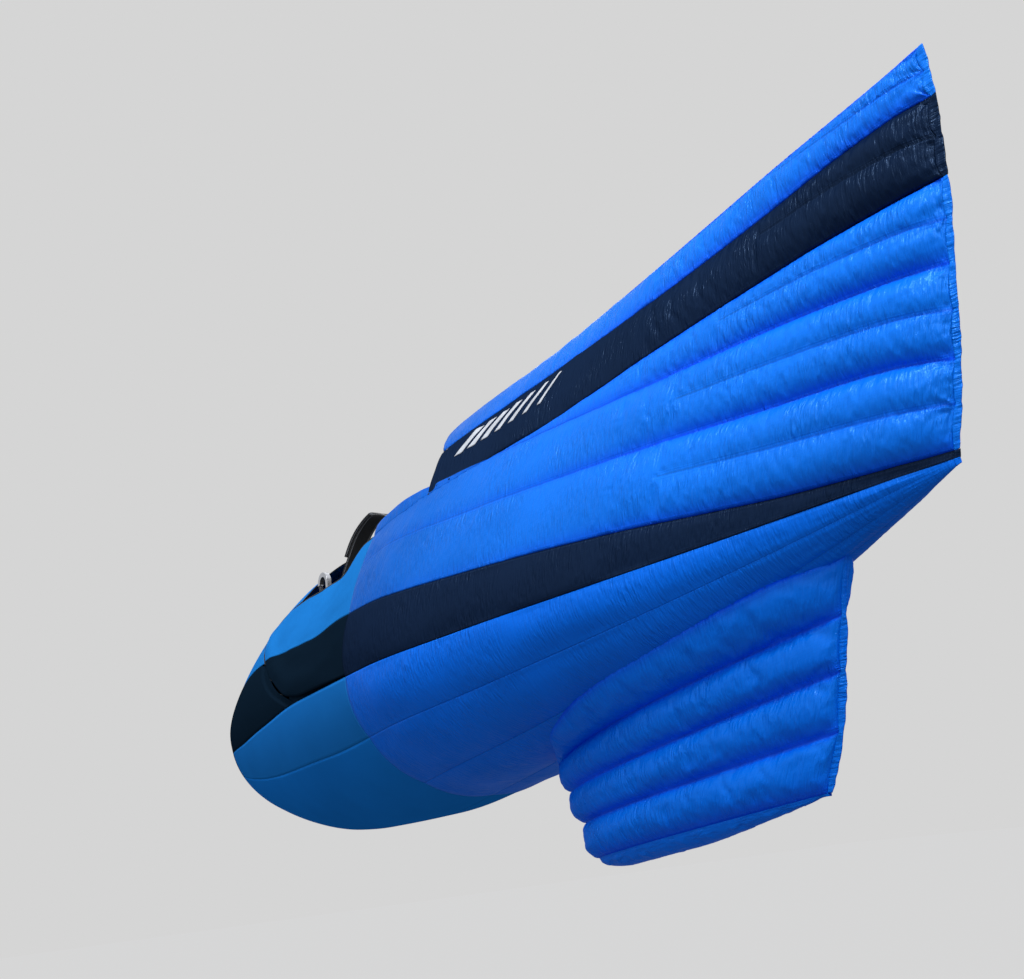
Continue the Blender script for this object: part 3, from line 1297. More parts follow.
# ------------------------------------------------------------------ edge strips
def edge_strip(name, inner, outer, side, mat, node, seed):
    """One cloth of the flat strip between the stitched line (inner) and the free edge (outer)."""
    lengths = path_length(outer)
    count = max(10, int(lengths[-1] / pick(.0022)))
    along = np.linspace(0, lengths[-1], count)
    line, free = (np.stack([np.interp(along, lengths, path[:, axis]) for axis in range(3)], -1)
                  for path in (inner, outer))
    k = np.linspace(0, 1, 6)[:, None]
    points = free[None] * (1 - k[..., None]) + line[None] * k[..., None]
    ripple = NOISE[seed](along[None] / .011, k * 1.5) * np.sin(math.pi * (.25 + .75 * k))
    spread = np.abs(line[None, :, 1]) * k ** 2.0 + .0007
    points[..., 1] = side * spread + .0016 * ripple
    points[0, :, 0] += .0010 * NOISE[seed + 1](along / .016, 3.0)
    width = np.linalg.norm(line - free, axis=-1)[None] * k
    shape = points.shape[:2]
    uv = np.stack([np.broadcast_to(along[None], shape), width], -1)
    ob = grid_mesh(name, points, points - np.array([0, side * .0006, 0]), uv, mat,
                   {"edge": width[-1:] - width + .0022, "edge_u": np.full(shape, .1)})
    place(ob, "harness", node)


def build_tail_edge(first_row, first_v):
    end = np.array([0.0])
    low, high = float(stripe_low(end)[0]), float(stripe_high(end)[0])
    for side, label, shift in SIDES:
        for name, cell_0, cell_1, mat in (("side", 0, 2, "rip"), ("dorsal", 3, 3, "navy"),
                                          ("crown", 4, 4, "rip")):
            part = slice(cell_0 * 2 * HALF_STEPS, (cell_1 + 1) * 2 * HALF_STEPS + 1)
            v = first_v[part]
            outer = skin(np.zeros_like(v), v) - ORIGIN
            outer[:, 0] += edge_set(v) - .0012 * pillow(COLUMN_SHARE[part], 2, .6) + .0012
            edge_strip("tail_edge_%s_%s" % (name, label), flip_y(first_row[part], side),
                       flip_y(outer, side), side, mat, "tail_edge_tape", 4)
        for name, v, kind, mat, seed in (
                ("keel", np.linspace(.01, low, 70), "belly", "rip_low", 3),
                ("stripe", np.linspace(low, high, 12), "stripe", "navy", 2)):
            inner = hull_cloth(np.full_like(v, TAIL_START), v, kind, side, seed + shift)
            outer = flip_y(skin(np.zeros_like(v), v) - ORIGIN, side)
            edge_strip("tail_edge_%s_%s" % (name, label), inner, outer, side, mat,
                       "tail_edge_tape", 5)


# ------------------------------------------------------------------ stretch front
def front_stripe(side, label, shift):
    """Black stripe ahead of the door flap, with a lap that runs under it."""
    share = np.linspace(0, 1, 130)[:, None]
    j = np.linspace(0, 1, 24)[None, :]
    start = stripe_start(j) - .035
    x = start + (FRONT_END - start) * share
    v = stripe_low(x) + (stripe_high(x) - stripe_low(x)) * j
    normals = flip_y(skin_normal(x, v), side)
    lap = 1 - ease((x - stripe_start(j) - .004) / .02)
    points = hull_cloth(x, v, "stripe", side, 9 + shift) - normals * (lap * .0045)[..., None]
    cloth_panel("front_stripe_%s_cloth" % label, points, normals, "jersey_black",
                "front_stripe_" + label)


def front_lap(side, label):
    """Lap under the free lower edge of the door flap."""
    j = np.linspace(0, 1, 14)[None, :]
    x = 1.3625 + (1.715 - 1.3625) * np.linspace(0, 1, 90)[:, None]
    v = stripe_low(x) + (door_low(x) + .055 - stripe_low(x)) * j
    points, normals = raised_skin(x, v, -(.0052 * ease(j / .12) + .0004), side)
    cloth_panel("front_lap_%s_cloth" % label, points, normals, "jersey_black",
                "front_stripe_" + label)


def front_deck(side, label, shift):
    j = np.linspace(0, 1, 60)[None, :]
    start = deck_start(1.36 + (2 - 1.36) * j) + .001
    x = start + (FRONT_END - start) * np.linspace(0, 1, 130)[:, None]
    v = stripe_high(x) + (2 - stripe_high(x)) * j
    lift = .0009 * NOISE[3 + shift % 5](x / .16, v / .2)
    points, normals = raised_skin(x, v, lift, side)
    cloth_panel("front_deck_%s_cloth" % label, points, normals, "jersey_up", "front_deck")


def build_front():
    xs = np.linspace(FRONT_START, FRONT_END, pick(200))
    for side, label, shift in SIDES:
        hull_panel("front_side_%s_cloth" % label, "front_side_" + label, xs, level(2 / 3),
                   stripe_low, 20, "belly", side, 3 + shift, "jersey_mid")
        hull_panel("front_belly_%s_cloth" % label, "front_belly", xs, level(0.0), level(2 / 3),
                   40, "belly", side, 3 + shift, "jersey_low")
        front_stripe(side, label, shift)
        front_lap(side, label)
        front_deck(side, label, shift)


def build_nose():
    share = np.linspace(0, 1, 70)[:, None]
    xs = NOSE_START + (HULL_LENGTH - 2e-6 - NOSE_START) * np.sin(share * math.pi / 2)
    half = np.linspace(0, 1, 121)
    x, v = np.broadcast_arrays(xs, np.concatenate([2 * half, 2 * half[::-1][1:-1]])[None, :])
    sign = np.concatenate([np.ones(121), -np.ones(119)])[None, :]
    points = skin(x, v)
    points[..., 1] *= sign
    points -= ORIGIN
    normals = skin_normal(x, v)
    normals[..., 1] *= sign
    rim = edges(points)["edge_u"]
    ob = grid_mesh("nose_cap_cloth", points, points - normals * CLOTH, arc_uv(points),
                   "jersey_black", {"edge": rim, "edge_u": rim}, wrap=True)
    place(ob, "harness", "nose_cap")


# ------------------------------------------------------------------ cockpit door flaps
def door_part(side, label, part):
    """The black stripe along the flap's lower edge, or the blue cloth above it."""
    stripe = part == "stripe"
    start = 1.3615
    end = 2.004 if stripe else 2.126
    x = start + (end - start) * np.linspace(0, 1, 150)[:, None]
    if stripe:
        low, high = door_low(x) + .002, np.maximum(stripe_high(x), door_low(x) + .004)
    else:
        low = np.maximum(door_low(x) + .002, stripe_high(x) + .0006)
        high = door_high(x) - .002
    v = low + (high - low) * np.linspace(0, 1, 26 if stripe else 40)[None, :]
    x = np.broadcast_to(x, v.shape)
    # the free lower edge stands a little proud, its rim rolls in, and the cloth above bulges
    above = (v - door_low(x)) * .45
    proud = .0045 * np.exp(-above / .03) * ease((x - 1.38) / .12)
    bulge = (.006 * np.exp(-((above - .035) / .030) ** 2) * ease((x - 1.42) / .15)
             * (1 - ease((x - 1.98) / .12)))
    roll = -.0030 * np.exp(-above / .0028) * ease((x - 1.40) / .1)
    wrinkle = (.0009 * NOISE[5](x / .07, v / .05)
               + .0006 * NOISE[6](x / .02, v / .2) * np.exp(-above / .03))
    lift = proud + bulge + roll + wrinkle * ease((x - 1.37) / .05)
    points, normals = raised_skin(x, v, lift, side)
    cloth_panel("door_%s_%s" % (label, part), points, normals,
                "jersey_black" if stripe else "jersey_up", "cockpit_door_" + label,
                thick=.0022, body="door_" + label)


def door_hinge(side, label):
    """Sewn hinge: a stretch gusset that follows both sides of the joint."""
    x, v = np.broadcast_arrays(1.3490 + .0260 * np.linspace(0, 1, 17)[:, None],
                               .992 + (1.572 - .992) * np.linspace(0, 1, 90)[None, :])
    lift = -(.0046 + .0003 * NOISE[3](x / .01, v / .05))
    points, normals = raised_skin(x, v, lift, side)
    ob = cloth_grid("door_hinge_gusset_" + label, points, normals, "jersey_black", thick=.0006)
    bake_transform(ob)
    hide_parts("cockpit_door_" + label)


def build_doors():
    for side, label, _ in SIDES:
        for part in ("stripe", "cloth"):
            door_part(side, label, part)
    for side, label, _ in SIDES:
        door_hinge(side, label)


# ------------------------------------------------------------------ keel fin
# Sections at the lower edges of the fin's four cells:
# leading edge (x, z), trailing edge (x, z), half thickness
FIN_SECTIONS = {
    1: ((1.054, -.278), (.2495, -.1575), .060),
    2: ((1.033, -.342), (.2725, -.2380), .048),
    3: ((1.001, -.402), (.2990, -.3230), .042),
    4: ((.976, -.468), (.345, -.407), .034),
}
FIN_ROOT_X, FIN_ROOT_CHORD = 1.062, .8475
# Where the fin meets the hull: share of the chord, then v
fin_root_v = curve([0, .06, .14, .25, .30, .45, .65, .82, .92, 1.0],
                   [.02, .12, .25, .334, .365, .415, .423, .40, .30, .10])
FIN_CELL = .078            # mean height of a fin cell
FIN_HEIGHT = .33           # mean height of the fin
FIN_EDGE = .986            # chord share where the edge strip begins
FIN_ROWS = 4 * pick(22) + 1
FIN_HALF = pick(150)   # grid columns on one side


def foil(u):
    """Symmetric airfoil thickness along the chord, at most 1."""
    return np.minimum(1, 5 * (.2969 * np.sqrt(u) - .126 * u - .3516 * u ** 2
                              + .2843 * u ** 3 - .1015 * u ** 4) / .5003)


def fin_section(number, u):
    """Left side of a section at chord shares u, hull frame."""
    front, back, thick = FIN_SECTIONS[number]
    shape = foil(u)
    if number == 1:
        shape = .45 * shape + .55 * np.sin(math.pi * np.power(u, .85))
    y = np.maximum(thick * shape, .0035 * np.minimum(1, 8 * np.sqrt(u)))
    return np.stack([front[0] + (back[0] - front[0]) * u, y,
                     front[1] + (back[1] - front[1]) * u], -1)


def fin_root(u):
    x = FIN_ROOT_X - FIN_ROOT_CHORD * u
    v = fin_root_v(u)
    return skin(x, v) + skin_normal(x, v) * .0005


def fin_base(u, down):
    """Fin surface without bulges; down runs from 0 at the hull to 1 at the tip."""
    cell = np.minimum((down * 4).astype(int), 3)
    part = down * 4 - cell
    points = np.zeros(u.shape + (3,))
    for number in range(4):
        here = cell == number
        chord, t = u[here], part[here]
        if number == 0:
            top = fin_root(chord)
            y_share = 1 - np.power(1 - t, 1.35)
        else:
            top = fin_section(number, chord)
            y_share = ease(t) if number == 1 else t
        bottom = fin_section(number + 1, chord)
        section = top + (bottom - top) * t[:, None]
        section[:, 1] = top[:, 1] + (bottom[:, 1] - top[:, 1]) * y_share
        points[here] = section
    return points


def fin_wrinkles(u, down, near, to_edge, seed):
    folds = (.0011 * gathers(u * .75, near, seed, wave=.010, reach=.020)
             + .0007 * gathers(u * .75, near, seed + 2, wave=.006, reach=.03)
             + .0016 * edge_folds(down * FIN_HEIGHT, to_edge, seed, wave=.013, reach=.035)
             + sum(.0042 * fan_folds(to_edge, (down - q / 4) * FIN_HEIGHT, seed + q, reach=.022)
                   for q in range(5))
             + .0018 * edge_folds(down * FIN_HEIGHT, np.clip(u * .7, 0, None), seed + 3,
                                  wave=.016, reach=.030)
             + .0016 * NOISE[seed](u * 9, down * 14))
    return folds * ease(near / .006) * ease(to_edge / .012)


def build_fin():
    rows = np.linspace(0, 1, FIN_ROWS)
    # columns run from the right trailing edge (-1) round the front (0) to the left one (1)
    column, down = np.meshgrid(np.linspace(-1, 1, 2 * FIN_HALF + 1), rows)
    u = np.clip(np.abs(column) ** 1.5 * FIN_EDGE, 0, 1)
    sign = np.where(column >= 0, 1.0, -1.0)
    base = fin_base(u, down)
    base[..., 1] *= sign
    base[:, FIN_HALF, 1] = 0
    normals = unit(np.cross(np.gradient(base, axis=0), np.gradient(base, axis=1)))
    if (normals[..., 1] * sign).mean() < 0:
        normals = -normals
    cell = np.where(down >= 1, 1.0, (down * 4) % 1.0)
    near = np.minimum(cell, 1 - cell) * FIN_CELL
    to_edge = np.clip((FIN_EDGE - u) * .75, 0, None)
    height = .205 * FIN_CELL * np.interp(down, [0, .25, .26, 1], [1.0, 1.05, 1.05, 1.0])
    taper = .35 + .65 * np.sqrt(np.clip((1 - u) / .10, 0, 1))
    bulge = height * pillow(cell, 2.0, .62) * taper
    wrinkles = np.where(sign > 0, fin_wrinkles(u, down, near, to_edge, 2),
                        fin_wrinkles(u, down, near, to_edge, 7))
    start = base + normals * (bulge * ease(to_edge / .006) * 1.02)[..., None]
    start[..., 0] += .0050 * pillow(cell, 2, .8) * np.exp(-to_edge / .022)
    start = start - ORIGIN
    pinned = np.zeros(u.shape, bool)
    for q in range(5):
        pinned[int(round(q * (FIN_ROWS - 1) / 4))] = True
    pinned[:, 0] = pinned[:, -1] = True
    points = blow_up(start, pinned, normals, 5, FIN_HALF + 40, bending=.03)
    points = points + normals * (wrinkles * .8)[..., None]
    # the upper part narrows towards the trailing edge
    points[..., 1] *= (1 - .62 * np.exp(-to_edge / .030)
                       * np.clip(1 - down / .30, 0, 1) ** 1.3)
    vale = np.maximum(furrow((1 - cell) * FIN_CELL, .0140), furrow(cell * FIN_CELL, .0045))
    ob = grid_mesh("keel_fin_cloth", points, points - normals * CLOTH,
                   np.stack([column * .8, down * FIN_HEIGHT], -1), "rip_fin",
                   {"edge": near, "edge_u": to_edge + .0005,
                    "vale": vale * np.clip(u / .1, 0, 1)})
    place(ob, "harness", "keel_fin_skin")
    fin_edge(points, rows, cell[:, 0])
    fin_tip(points[-1])


def fin_edge(points, down, cell):
    """Trailing edge strip, scalloped in the lower three cells."""
    scallop = pillow(cell, 2, .7)
    free = fin_base(np.full(FIN_ROWS, FIN_EDGE), down) - ORIGIN
    free[:, 0] -= (.0056 + .0030 * scallop * (down > .25) * (down < .75)
                   + .0022 * scallop * (down >= .75))
    free[:, 0] += .0125 * np.clip(1 - down / .25, 0, 1) ** 1.5
    free[:, 1] = 0
    for side, label, _ in SIDES:
        edge_strip("keel_fin_edge_" + label, points[:, -1 if side > 0 else 0], free, side,
                   "rip_fin", "keel_fin_edge_tape", 6)


def fin_tip(rim):
    """Bulged airfoil-shaped cloth closing the fin's lower end."""
    middle = rim * np.array([1, 0, 1])
    rows = []
    for q in np.linspace(0, 1, 26):
        row = rim * (1 - q) + middle * q
        sag = np.sqrt(max(1 - (1 - q) ** 2, 0)) * np.clip(np.abs(rim[:, 1]) / .030, .08, 1)
        row[:, 2] = rim[:, 2] - .026 * sag
        row[:, 2] += ((.0030 * NOISE[2](rim[:, 0] / .016 + 9, q * 3)
                       + .0016 * NOISE[5](rim[:, 0] / .007, q * 4)) * ease(q / .15) * (1 - q))
        rows.append(row)
    points = np.array(rows)
    for label, half in (("right", points[:, :FIN_HALF + 1]), ("left", points[:, FIN_HALF:])):
        cloth_panel("keel_fin_tip_%s_cloth" % label, half, np.array([0.0, 0.0, -1.0]),
                    "rip_fin", "keel_fin_tip_cap")


# ------------------------------------------------------------------ webs inside tail and fin
def web_bay(start, end, surface_at):
    """One bay of a level web with an oval port; surface_at gives its edge on the left skin."""
    angle = full_turn(40)
    c, s = np.cos(angle), np.sin(angle)
    reach = np.maximum(np.abs(c), np.abs(s))
    outer = np.stack([c / reach, s / reach], -1)
    port = np.stack([.62 * c, .60 * s], -1)
    share = np.linspace(0, 1, 5)[:, None, None]
    flat = port * (1 - share) + outer * share
    along = (start + end) / 2 + flat[..., 0] * (end - start) / 2
    across = flat[..., 1]
    edge_at = surface_at(along)
    y = across * np.maximum(edge_at[..., 1] - .0022, .0008)
    z = edge_at[..., 2] + .0016 * np.sin(across * 3 + along * 40) * (1 - np.abs(across))
    top = np.stack([edge_at[..., 0] - ORIGIN_X, y, z - ORIGIN_Z], -1)
    return ring_shell(top, top - np.array([0, 0, .0006]), np.stack([along, y], -1),
                      share[..., 0] * .02)


def web(seam, start, end, bays):
    """A row of bays along a hull seam."""
    stations = np.linspace(start, end, bays + 1)
    return [web_bay(a, b, lambda x: skin(x, seam(x)))
            for a, b in zip(stations[:-1], stations[1:])]


def build_webs():
    main = []
    for seam, end in ((stripe_high, .94), (lower_seam, .82), (upper_seam, .82),
                      (dorsal_low, .96), (dorsal_high, .96)):
        main += web(seam, .055, end, 8)
    soft_part("tail_main_webs", main, "rib", "tail_main_ribs")
    halves = []
    for cell in CELLS:
        halves += web(lambda x, cell=cell: half_seam(cell, x), .050, cell.length * .98, 4)
    soft_part("tail_half_webs", halves, "rib", "tail_half_ribs")
    fin = []
    stations = (.03, .12, .24, .38, .54, .72, .94)
    for number in (1, 2, 3):
        for start, end in zip(stations[:-1], stations[1:]):
            points, faces, uv, edge = web_bay(
                start, end, lambda u, n=number: fin_section(n, np.clip(u, 0, 1)))
            fin.append((points, faces, uv * .75, edge))
    soft_part("keel_fin_webs", fin, "rib", "keel_fin_ribs")


# ------------------------------------------------------------------ bulkhead and inlet
BULKHEAD_X = 1.085
INLET_Z, INLET_R = .040, .080
FLAP_R = INLET_R + .008
FLAP_HINGE = .0835         # height of the flap's straight top over the inlet's centre


def build_bulkhead():
    """Cloth across the hull with a round inlet."""
    v = np.linspace(0, 2, 61)
    x = np.full_like(v, BULKHEAD_X)
    section = skin(x, v) - skin_normal(x, v) * .0030
    section[:, 0] = BULKHEAD_X
    outline = np.concatenate([section, flip_y(section, -1)[::-1][1:-1]])
    angle = np.unwrap(np.arctan2(outline[:, 2] - INLET_Z, outline[:, 1]))
    inlet = np.stack([np.full(len(angle), BULKHEAD_X), INLET_R * np.cos(angle),
                      INLET_Z + INLET_R * np.sin(angle)], -1)
    share = np.linspace(0, 1, 26)[:, None, None]
    grid = inlet[None] * (1 - share) + outline[None] * share
    radius = np.linalg.norm(grid - np.array([BULKHEAD_X, 0, INLET_Z]), axis=-1)
    share = share[..., 0]
    grid[..., 0] += ((.0030 * NOISE[3](angle[None] * 4, radius / .16) + .010)
                     * np.sin(share * math.pi))
    grid = grid - ORIGIN
    soft_part("bulkhead_cloth", [ring_shell(grid, grid - np.array([.0009, 0, 0]),
                                            grid[..., 1:], share * .15)],
              "coated", "rear_bulkhead")
    angle = full_turn(90)
    outward = np.stack([np.zeros(90), np.cos(angle), np.sin(angle)], -1)
    ring = outward * (INLET_R + .006) + np.array([BULKHEAD_X, 0, INLET_Z]) - ORIGIN
    soft_part("inlet_binding", [sweep(ring, outward, .016, .0034, sides=16, closed=True)],
              "web", "rear_bulkhead")


def build_inlet_flap():
    """One-way flap: dished cloth disc with a hem, straight along its hinge."""
    r = np.linspace(0.02, 1, 22)[:, None]
    angle = full_turn(96)[None, :]
    y = FLAP_R * r * np.cos(angle)
    z = np.minimum(FLAP_R * r * np.sin(angle), FLAP_HINGE)
    dish = .006 * (1 - r ** 2) * np.clip((FLAP_HINGE - z) / .06, 0, 1)
    x = BULKHEAD_X - .0046 - dish - .0008 * NOISE[2](angle * 3, r * 5)
    grid = np.stack([x, y, INLET_Z + z], -1) - ORIGIN
    back = grid.copy()
    back[..., 0] -= .0010 + .0012 * (r > .93)
    flap = ring_shell(grid, back, np.stack([y, z], -1), (1 - r) * FLAP_R, capped=True)
    soft_part("inlet_flap_cloth", [flap], "coated", "inlet_flap", body="flap")


# ------------------------------------------------------------------ seat
# Middle line of the seat from the neck to the front: x, z
SEAT_LINE = np.array([
    [1.5, .27], [1.56, .165], [1.66, .025], [1.765, -.118], [1.86, -.2],
    [1.96, -.232], [2.08, -.205], [2.2, -.178], [2.32, -.165]])
seat_x = curve(np.arange(9) / 8, SEAT_LINE[:, 0])
seat_z = curve(np.arange(9) / 8, SEAT_LINE[:, 1])
seat_width = curve([0, .15, .5, .75, 1], [.095, .165, .185, .165, .120])
seat_dish = curve([0, .2, .5, .75, 1], [.020, .060, .080, .055, .030])
SEAT_ARC = math.radians(80)
PROTECTOR_T, PROTECTOR_SPAN, PROTECTOR_WIDE = .10, .42, .83
CHANNELS = (.22, .41, .60, .79)   # sewn channels, as shares of the protector's length
NECK_T, NECK_SPAN, NECK_WIDE = .015, .12, .8
NECK_BASE = .0088


def seat_point(t, j, lift):
    """t along the seat, j from -1 to 1 across it, lift above its surface; CAD frame."""
    t, j, lift = np.broadcast_arrays(np.asarray(t, float), np.asarray(j, float),
                                     np.asarray(lift, float))
    step = .01
    after, before = np.minimum(t + step, 1), np.maximum(t - step, 0)
    dx = seat_x(after) - seat_x(before)
    dz = seat_z(after) - seat_z(before)
    length = np.hypot(dx, dz)
    rise = seat_dish(t) * (1 - np.cos(j * SEAT_ARC)) / (1 - math.cos(SEAT_ARC)) + lift
    return np.stack([seat_x(t) - dz / length * rise,
                     seat_width(t) * np.sin(j * SEAT_ARC) / math.sin(SEAT_ARC),
                     seat_z(t) + dx / length * rise], -1) - ORIGIN


def seat_border(count):
    """t and j once round the seat."""
    across = np.linspace(-1, 1, 40)[1:-1]
    t = [np.linspace(0, 1, count), np.ones(38), np.linspace(1, 0, count), np.zeros(38)]
    j = [np.full(count, -1), across, np.full(count, 1), across[::-1]]
    return np.concatenate(t), np.concatenate(j)


def build_hammock():
    t = np.linspace(0, 1, 200)[:, None]
    j = np.linspace(-1, 1, 96)[None, :]
    along = np.abs(((t * 11) % 1) - .5) * 2
    across = np.abs(((j * 2.5 + .5) % 1) - .5) * 2
    quilt = (.0042 * np.power(np.maximum(1 - along ** 2.4, 0), .6)
             * np.power(np.maximum(1 - across ** 2.4, 0), .6))
    inside = np.clip(np.minimum((1 - np.abs(j)) / .06, np.minimum(t, 1 - t) / .02), 0, 1)
    grid = seat_point(t, j, .0034 + quilt * inside + .0007 * NOISE[5](t * 40, j * 9))
    soft_part("seat_hammock_cloth", [sheet(grid, .0034)], "seat", "seat_hammock")
    hem = seat_point(*seat_border(90), .0026)
    soft_part("seat_hammock_binding", [tube(hem, .0034, closed=True)], "web", "seat_hammock")


def nearest_t(points, first, last, count, lift):
    """t of the nearest sample of the seat's middle line, seen from the side."""
    t = np.linspace(first, last, count)
    line = seat_point(t, 0 * t, lift)[None, :, [0, 2]]
    return t[np.argmin(((points[:, None, [0, 2]] - line) ** 2).sum(-1), 1)]


def protector_drop(share, j):
    """Depth of the protector below the seat."""
    return .060 * np.sin(math.pi * (.08 + .84 * share)) * (1 - .25 * j ** 2)


def protector_pins(points):
    """Points on the sewn channels and on the upper face."""
    t = nearest_t(points, .10, .52, 400, -.03)
    channels = np.array([PROTECTOR_T + PROTECTOR_SPAN * share for share in CHANNELS])
    on_channel = np.min(np.abs(t[:, None] - channels[None]), 1) < .0065
    upper = seat_point(t, 0 * t, -.0095)[:, [0, 2]]
    return on_channel | (((points[:, [0, 2]] - upper) ** 2).sum(-1) < .009 ** 2)


def build_protector():
    """Back protector: chambers between sewn channels."""
    share = np.linspace(0, 1, 60)[:, None]
    j = np.linspace(-1, 1, 40)[None, :]
    t = PROTECTOR_T + PROTECTOR_SPAN * share
    top = seat_point(t, j * PROTECTOR_WIDE, -.0095)
    bottom = seat_point(t, j * PROTECTOR_WIDE, -.010 - protector_drop(share, j))
    pad = inflated_pad("back_protector_pad", top, bottom, voxel=.0085, limit=.011, frames=16,
                       pin=protector_pins)
    place(pad, "harness", "back_protector")
    tapes = []
    for share in CHANNELS:
        j = np.linspace(-.80, .80, 40)
        drop = protector_drop(share, j / PROTECTOR_WIDE)
        path = seat_point(PROTECTOR_T + PROTECTOR_SPAN * share, j, -.0105 - drop)
        tapes.append(sweep(path, [.7, 0, .7], .012, .0022, sides=12, raw=True))
    soft_part("back_protector_tapes", tapes, "web", "back_protector")


def neck_pins(points):
    """Points on the base and on three lines of stitching along the pad."""
    t = nearest_t(points, .0, .15, 200, .015)
    off = np.abs(points[:, 1])
    sine = np.clip(points[:, 1] / seat_width(t) * math.sin(SEAT_ARC), -1, 1)
    base = seat_point(t, np.clip(np.arcsin(sine) / SEAT_ARC, -1, 1), NECK_BASE)
    low = ((points - base) ** 2).sum(-1) < .0035 ** 2
    return low | (np.abs(off - .048) < .0028) | (off < .0028)


def build_neck_pad():
    share = np.linspace(0, 1, 40)[:, None]
    j = np.linspace(-1, 1, 40)[None, :]
    t = NECK_T + NECK_SPAN * share
    rise = .020 * np.sin(math.pi * (.1 + .8 * share)) * np.cos(j * math.radians(64))
    top = seat_point(t, j * NECK_WIDE, .010 + rise)
    bottom = seat_point(t, j * NECK_WIDE, NECK_BASE)
    pad = inflated_pad("neck_pad_cushion", top, bottom, voxel=.0052, limit=.008, frames=14,
                       pin=neck_pins)
    place(pad, "harness", "neck_pad")
    t, j = seat_border(30)
    rim = seat_point(NECK_T + NECK_SPAN * t, NECK_WIDE * j, .0105)
    soft_part("neck_pad_piping", [tube(rim, .0022, closed=True)], "web", "neck_pad")


# ------------------------------------------------------------------ webbing
HANG_Y = .170              # the hang points' distance from the middle


def shoulder_strap(s):
    path = np.array([[1.512, s * .072, .300], [1.548, s * .084, .352], [1.600, s * .095, .368],
                     [1.655, s * .105, .345], [1.705, s * .120, .285], [1.740, s * .135, .215],
                     [1.758, s * .144, .162]]) - ORIGIN
    return [sweep(path, [0, 1, 0], .038, .0042, crown=.25),
            sweep(path[2:5] + np.array([.003, 0, .004]), [0, 1, 0], .050, .0075, power=4.0,
                  crown=.3)]


def chest_strap(s):
    return [sweep([[0, s * (HANG_Y - .014), -.122], [.010, s * (HANG_Y - .055), -.108],
                   [.014, s * .070, -.100], [.014, s * .034, -.098]], [1, 0, 0], .024, .0026),
            sweep([[.002, s * (HANG_Y - .030), -.1185], [.008, s * (HANG_Y - .048), -.1118]],
                  [1, 0, 0], .027, .0052, power=6)]


def leg_strap(s):
    strap = np.array([[1.990, s * .012, -.212], [1.992, s * .016, -.120],
                      [1.994, s * .034, -.020], [1.994, s * .070, .030],
                      [1.994, s * .112, .028], [1.994, s * .150, -.020],
                      [1.994, s * .188, -.110]]) - ORIGIN
    pad = np.array([[1.994, s * .060, .020], [1.994, s * .090, .0355],
                    [1.994, s * .120, .019]]) - ORIGIN
    return [sweep(strap, [1, 0, 0], .028, .0026),
            sweep(pad, [1, 0, 0], .044, .0070, power=4, crown=.2)]


def hang_strap(s):
    """Loop round the carabiner's foot, two straps below it and two sewn bars."""
    angle = full_turn(60)
    radius, stretch = .0090, .0025
    loop = np.stack([np.zeros(60), s * HANG_Y + radius * np.cos(angle),
                     -.094 + radius * np.sin(angle) + stretch * np.sign(np.sin(angle))], -1)
    main = [[0, s * HANG_Y, -.1055], [0, s * (HANG_Y + .004), -.150],
            [.020, s * (HANG_Y + .014), -.230], [.040, s * (HANG_Y + .018), -.300],
            [.060, s * (HANG_Y + .015), -.352]]
    rear = [[-.008, s * (HANG_Y + .004), -.132], [-.050, s * (HANG_Y + .016), -.190],
            [-.090, s * (HANG_Y + .022), -.250], [-.115, s * (HANG_Y + .020), -.292]]
    parts = [sweep(loop, [1, 0, 0], .016, .0030, closed=True, sides=16),
             sweep(main, [1, 0, 0], .024, .0032),
             sweep(rear, [1, 0, 0], .020, .0026)]
    for top, bottom in ((-.112, -.124), (-.134, -.146)):
        bar = [[.0005, s * (HANG_Y + .001), top], [.0005, s * (HANG_Y + .003), bottom]]
        parts.append(sweep(bar, [1, 0, 0], .0262, .0062, power=6))
    return parts


def build_webbing():
    for name, node, strap in (("shoulder_strap_webbing", "shoulder_straps", shoulder_strap),
                              ("chest_strap_webbing", "chest_strap", chest_strap),
                              ("leg_strap_webbing", "leg_straps", leg_strap),
                              ("hang_strap_webbing", "hang_straps", hang_strap)):
        soft_part(name, strap(-1) + strap(1), "web", node)


# ------------------------------------------------------------------ reserve
RESERVE_X = 1.485 - ORIGIN_X
RESERVE_Z = -.1925 - ORIGIN_Z
RESERVE_HALF = (.0985, .1235, .0695)
CANOPY_BASE = -.257 - ORIGIN_Z
FOLD_PITCH = .0256


def container_flap(along_x, sign):
    a = np.linspace(0, 1, 26)[:, None]
    b = np.linspace(-1, 1, 40)[None, :]
    reach = .098 if along_x else .118
    half = (.112 if along_x else .088) * (1 - .45 * a ** 1.5)
    out = sign * (reach - a * (reach - .006))
    height = (RESERVE_HALF[2] + .0016 - .0007 * along_x
              + .0014 * NOISE[6](a * 3 + 5 * sign, b * 3) - .004 * (np.abs(b) ** 4))
    # the outer end turns down over the tray's edge
    drop = np.clip((np.abs(out) - reach + .014) / .014, 0, 1) ** 2 * .012
    z = RESERVE_Z + height - drop
    if along_x:
        grid = np.stack([RESERVE_X + out + 0 * b, b * half, z], -1)
    else:
        grid = np.stack([RESERVE_X + b * half, out + 0 * b, z + .0016], -1)
    return sheet(grid, .0014, [0, 0, 1])


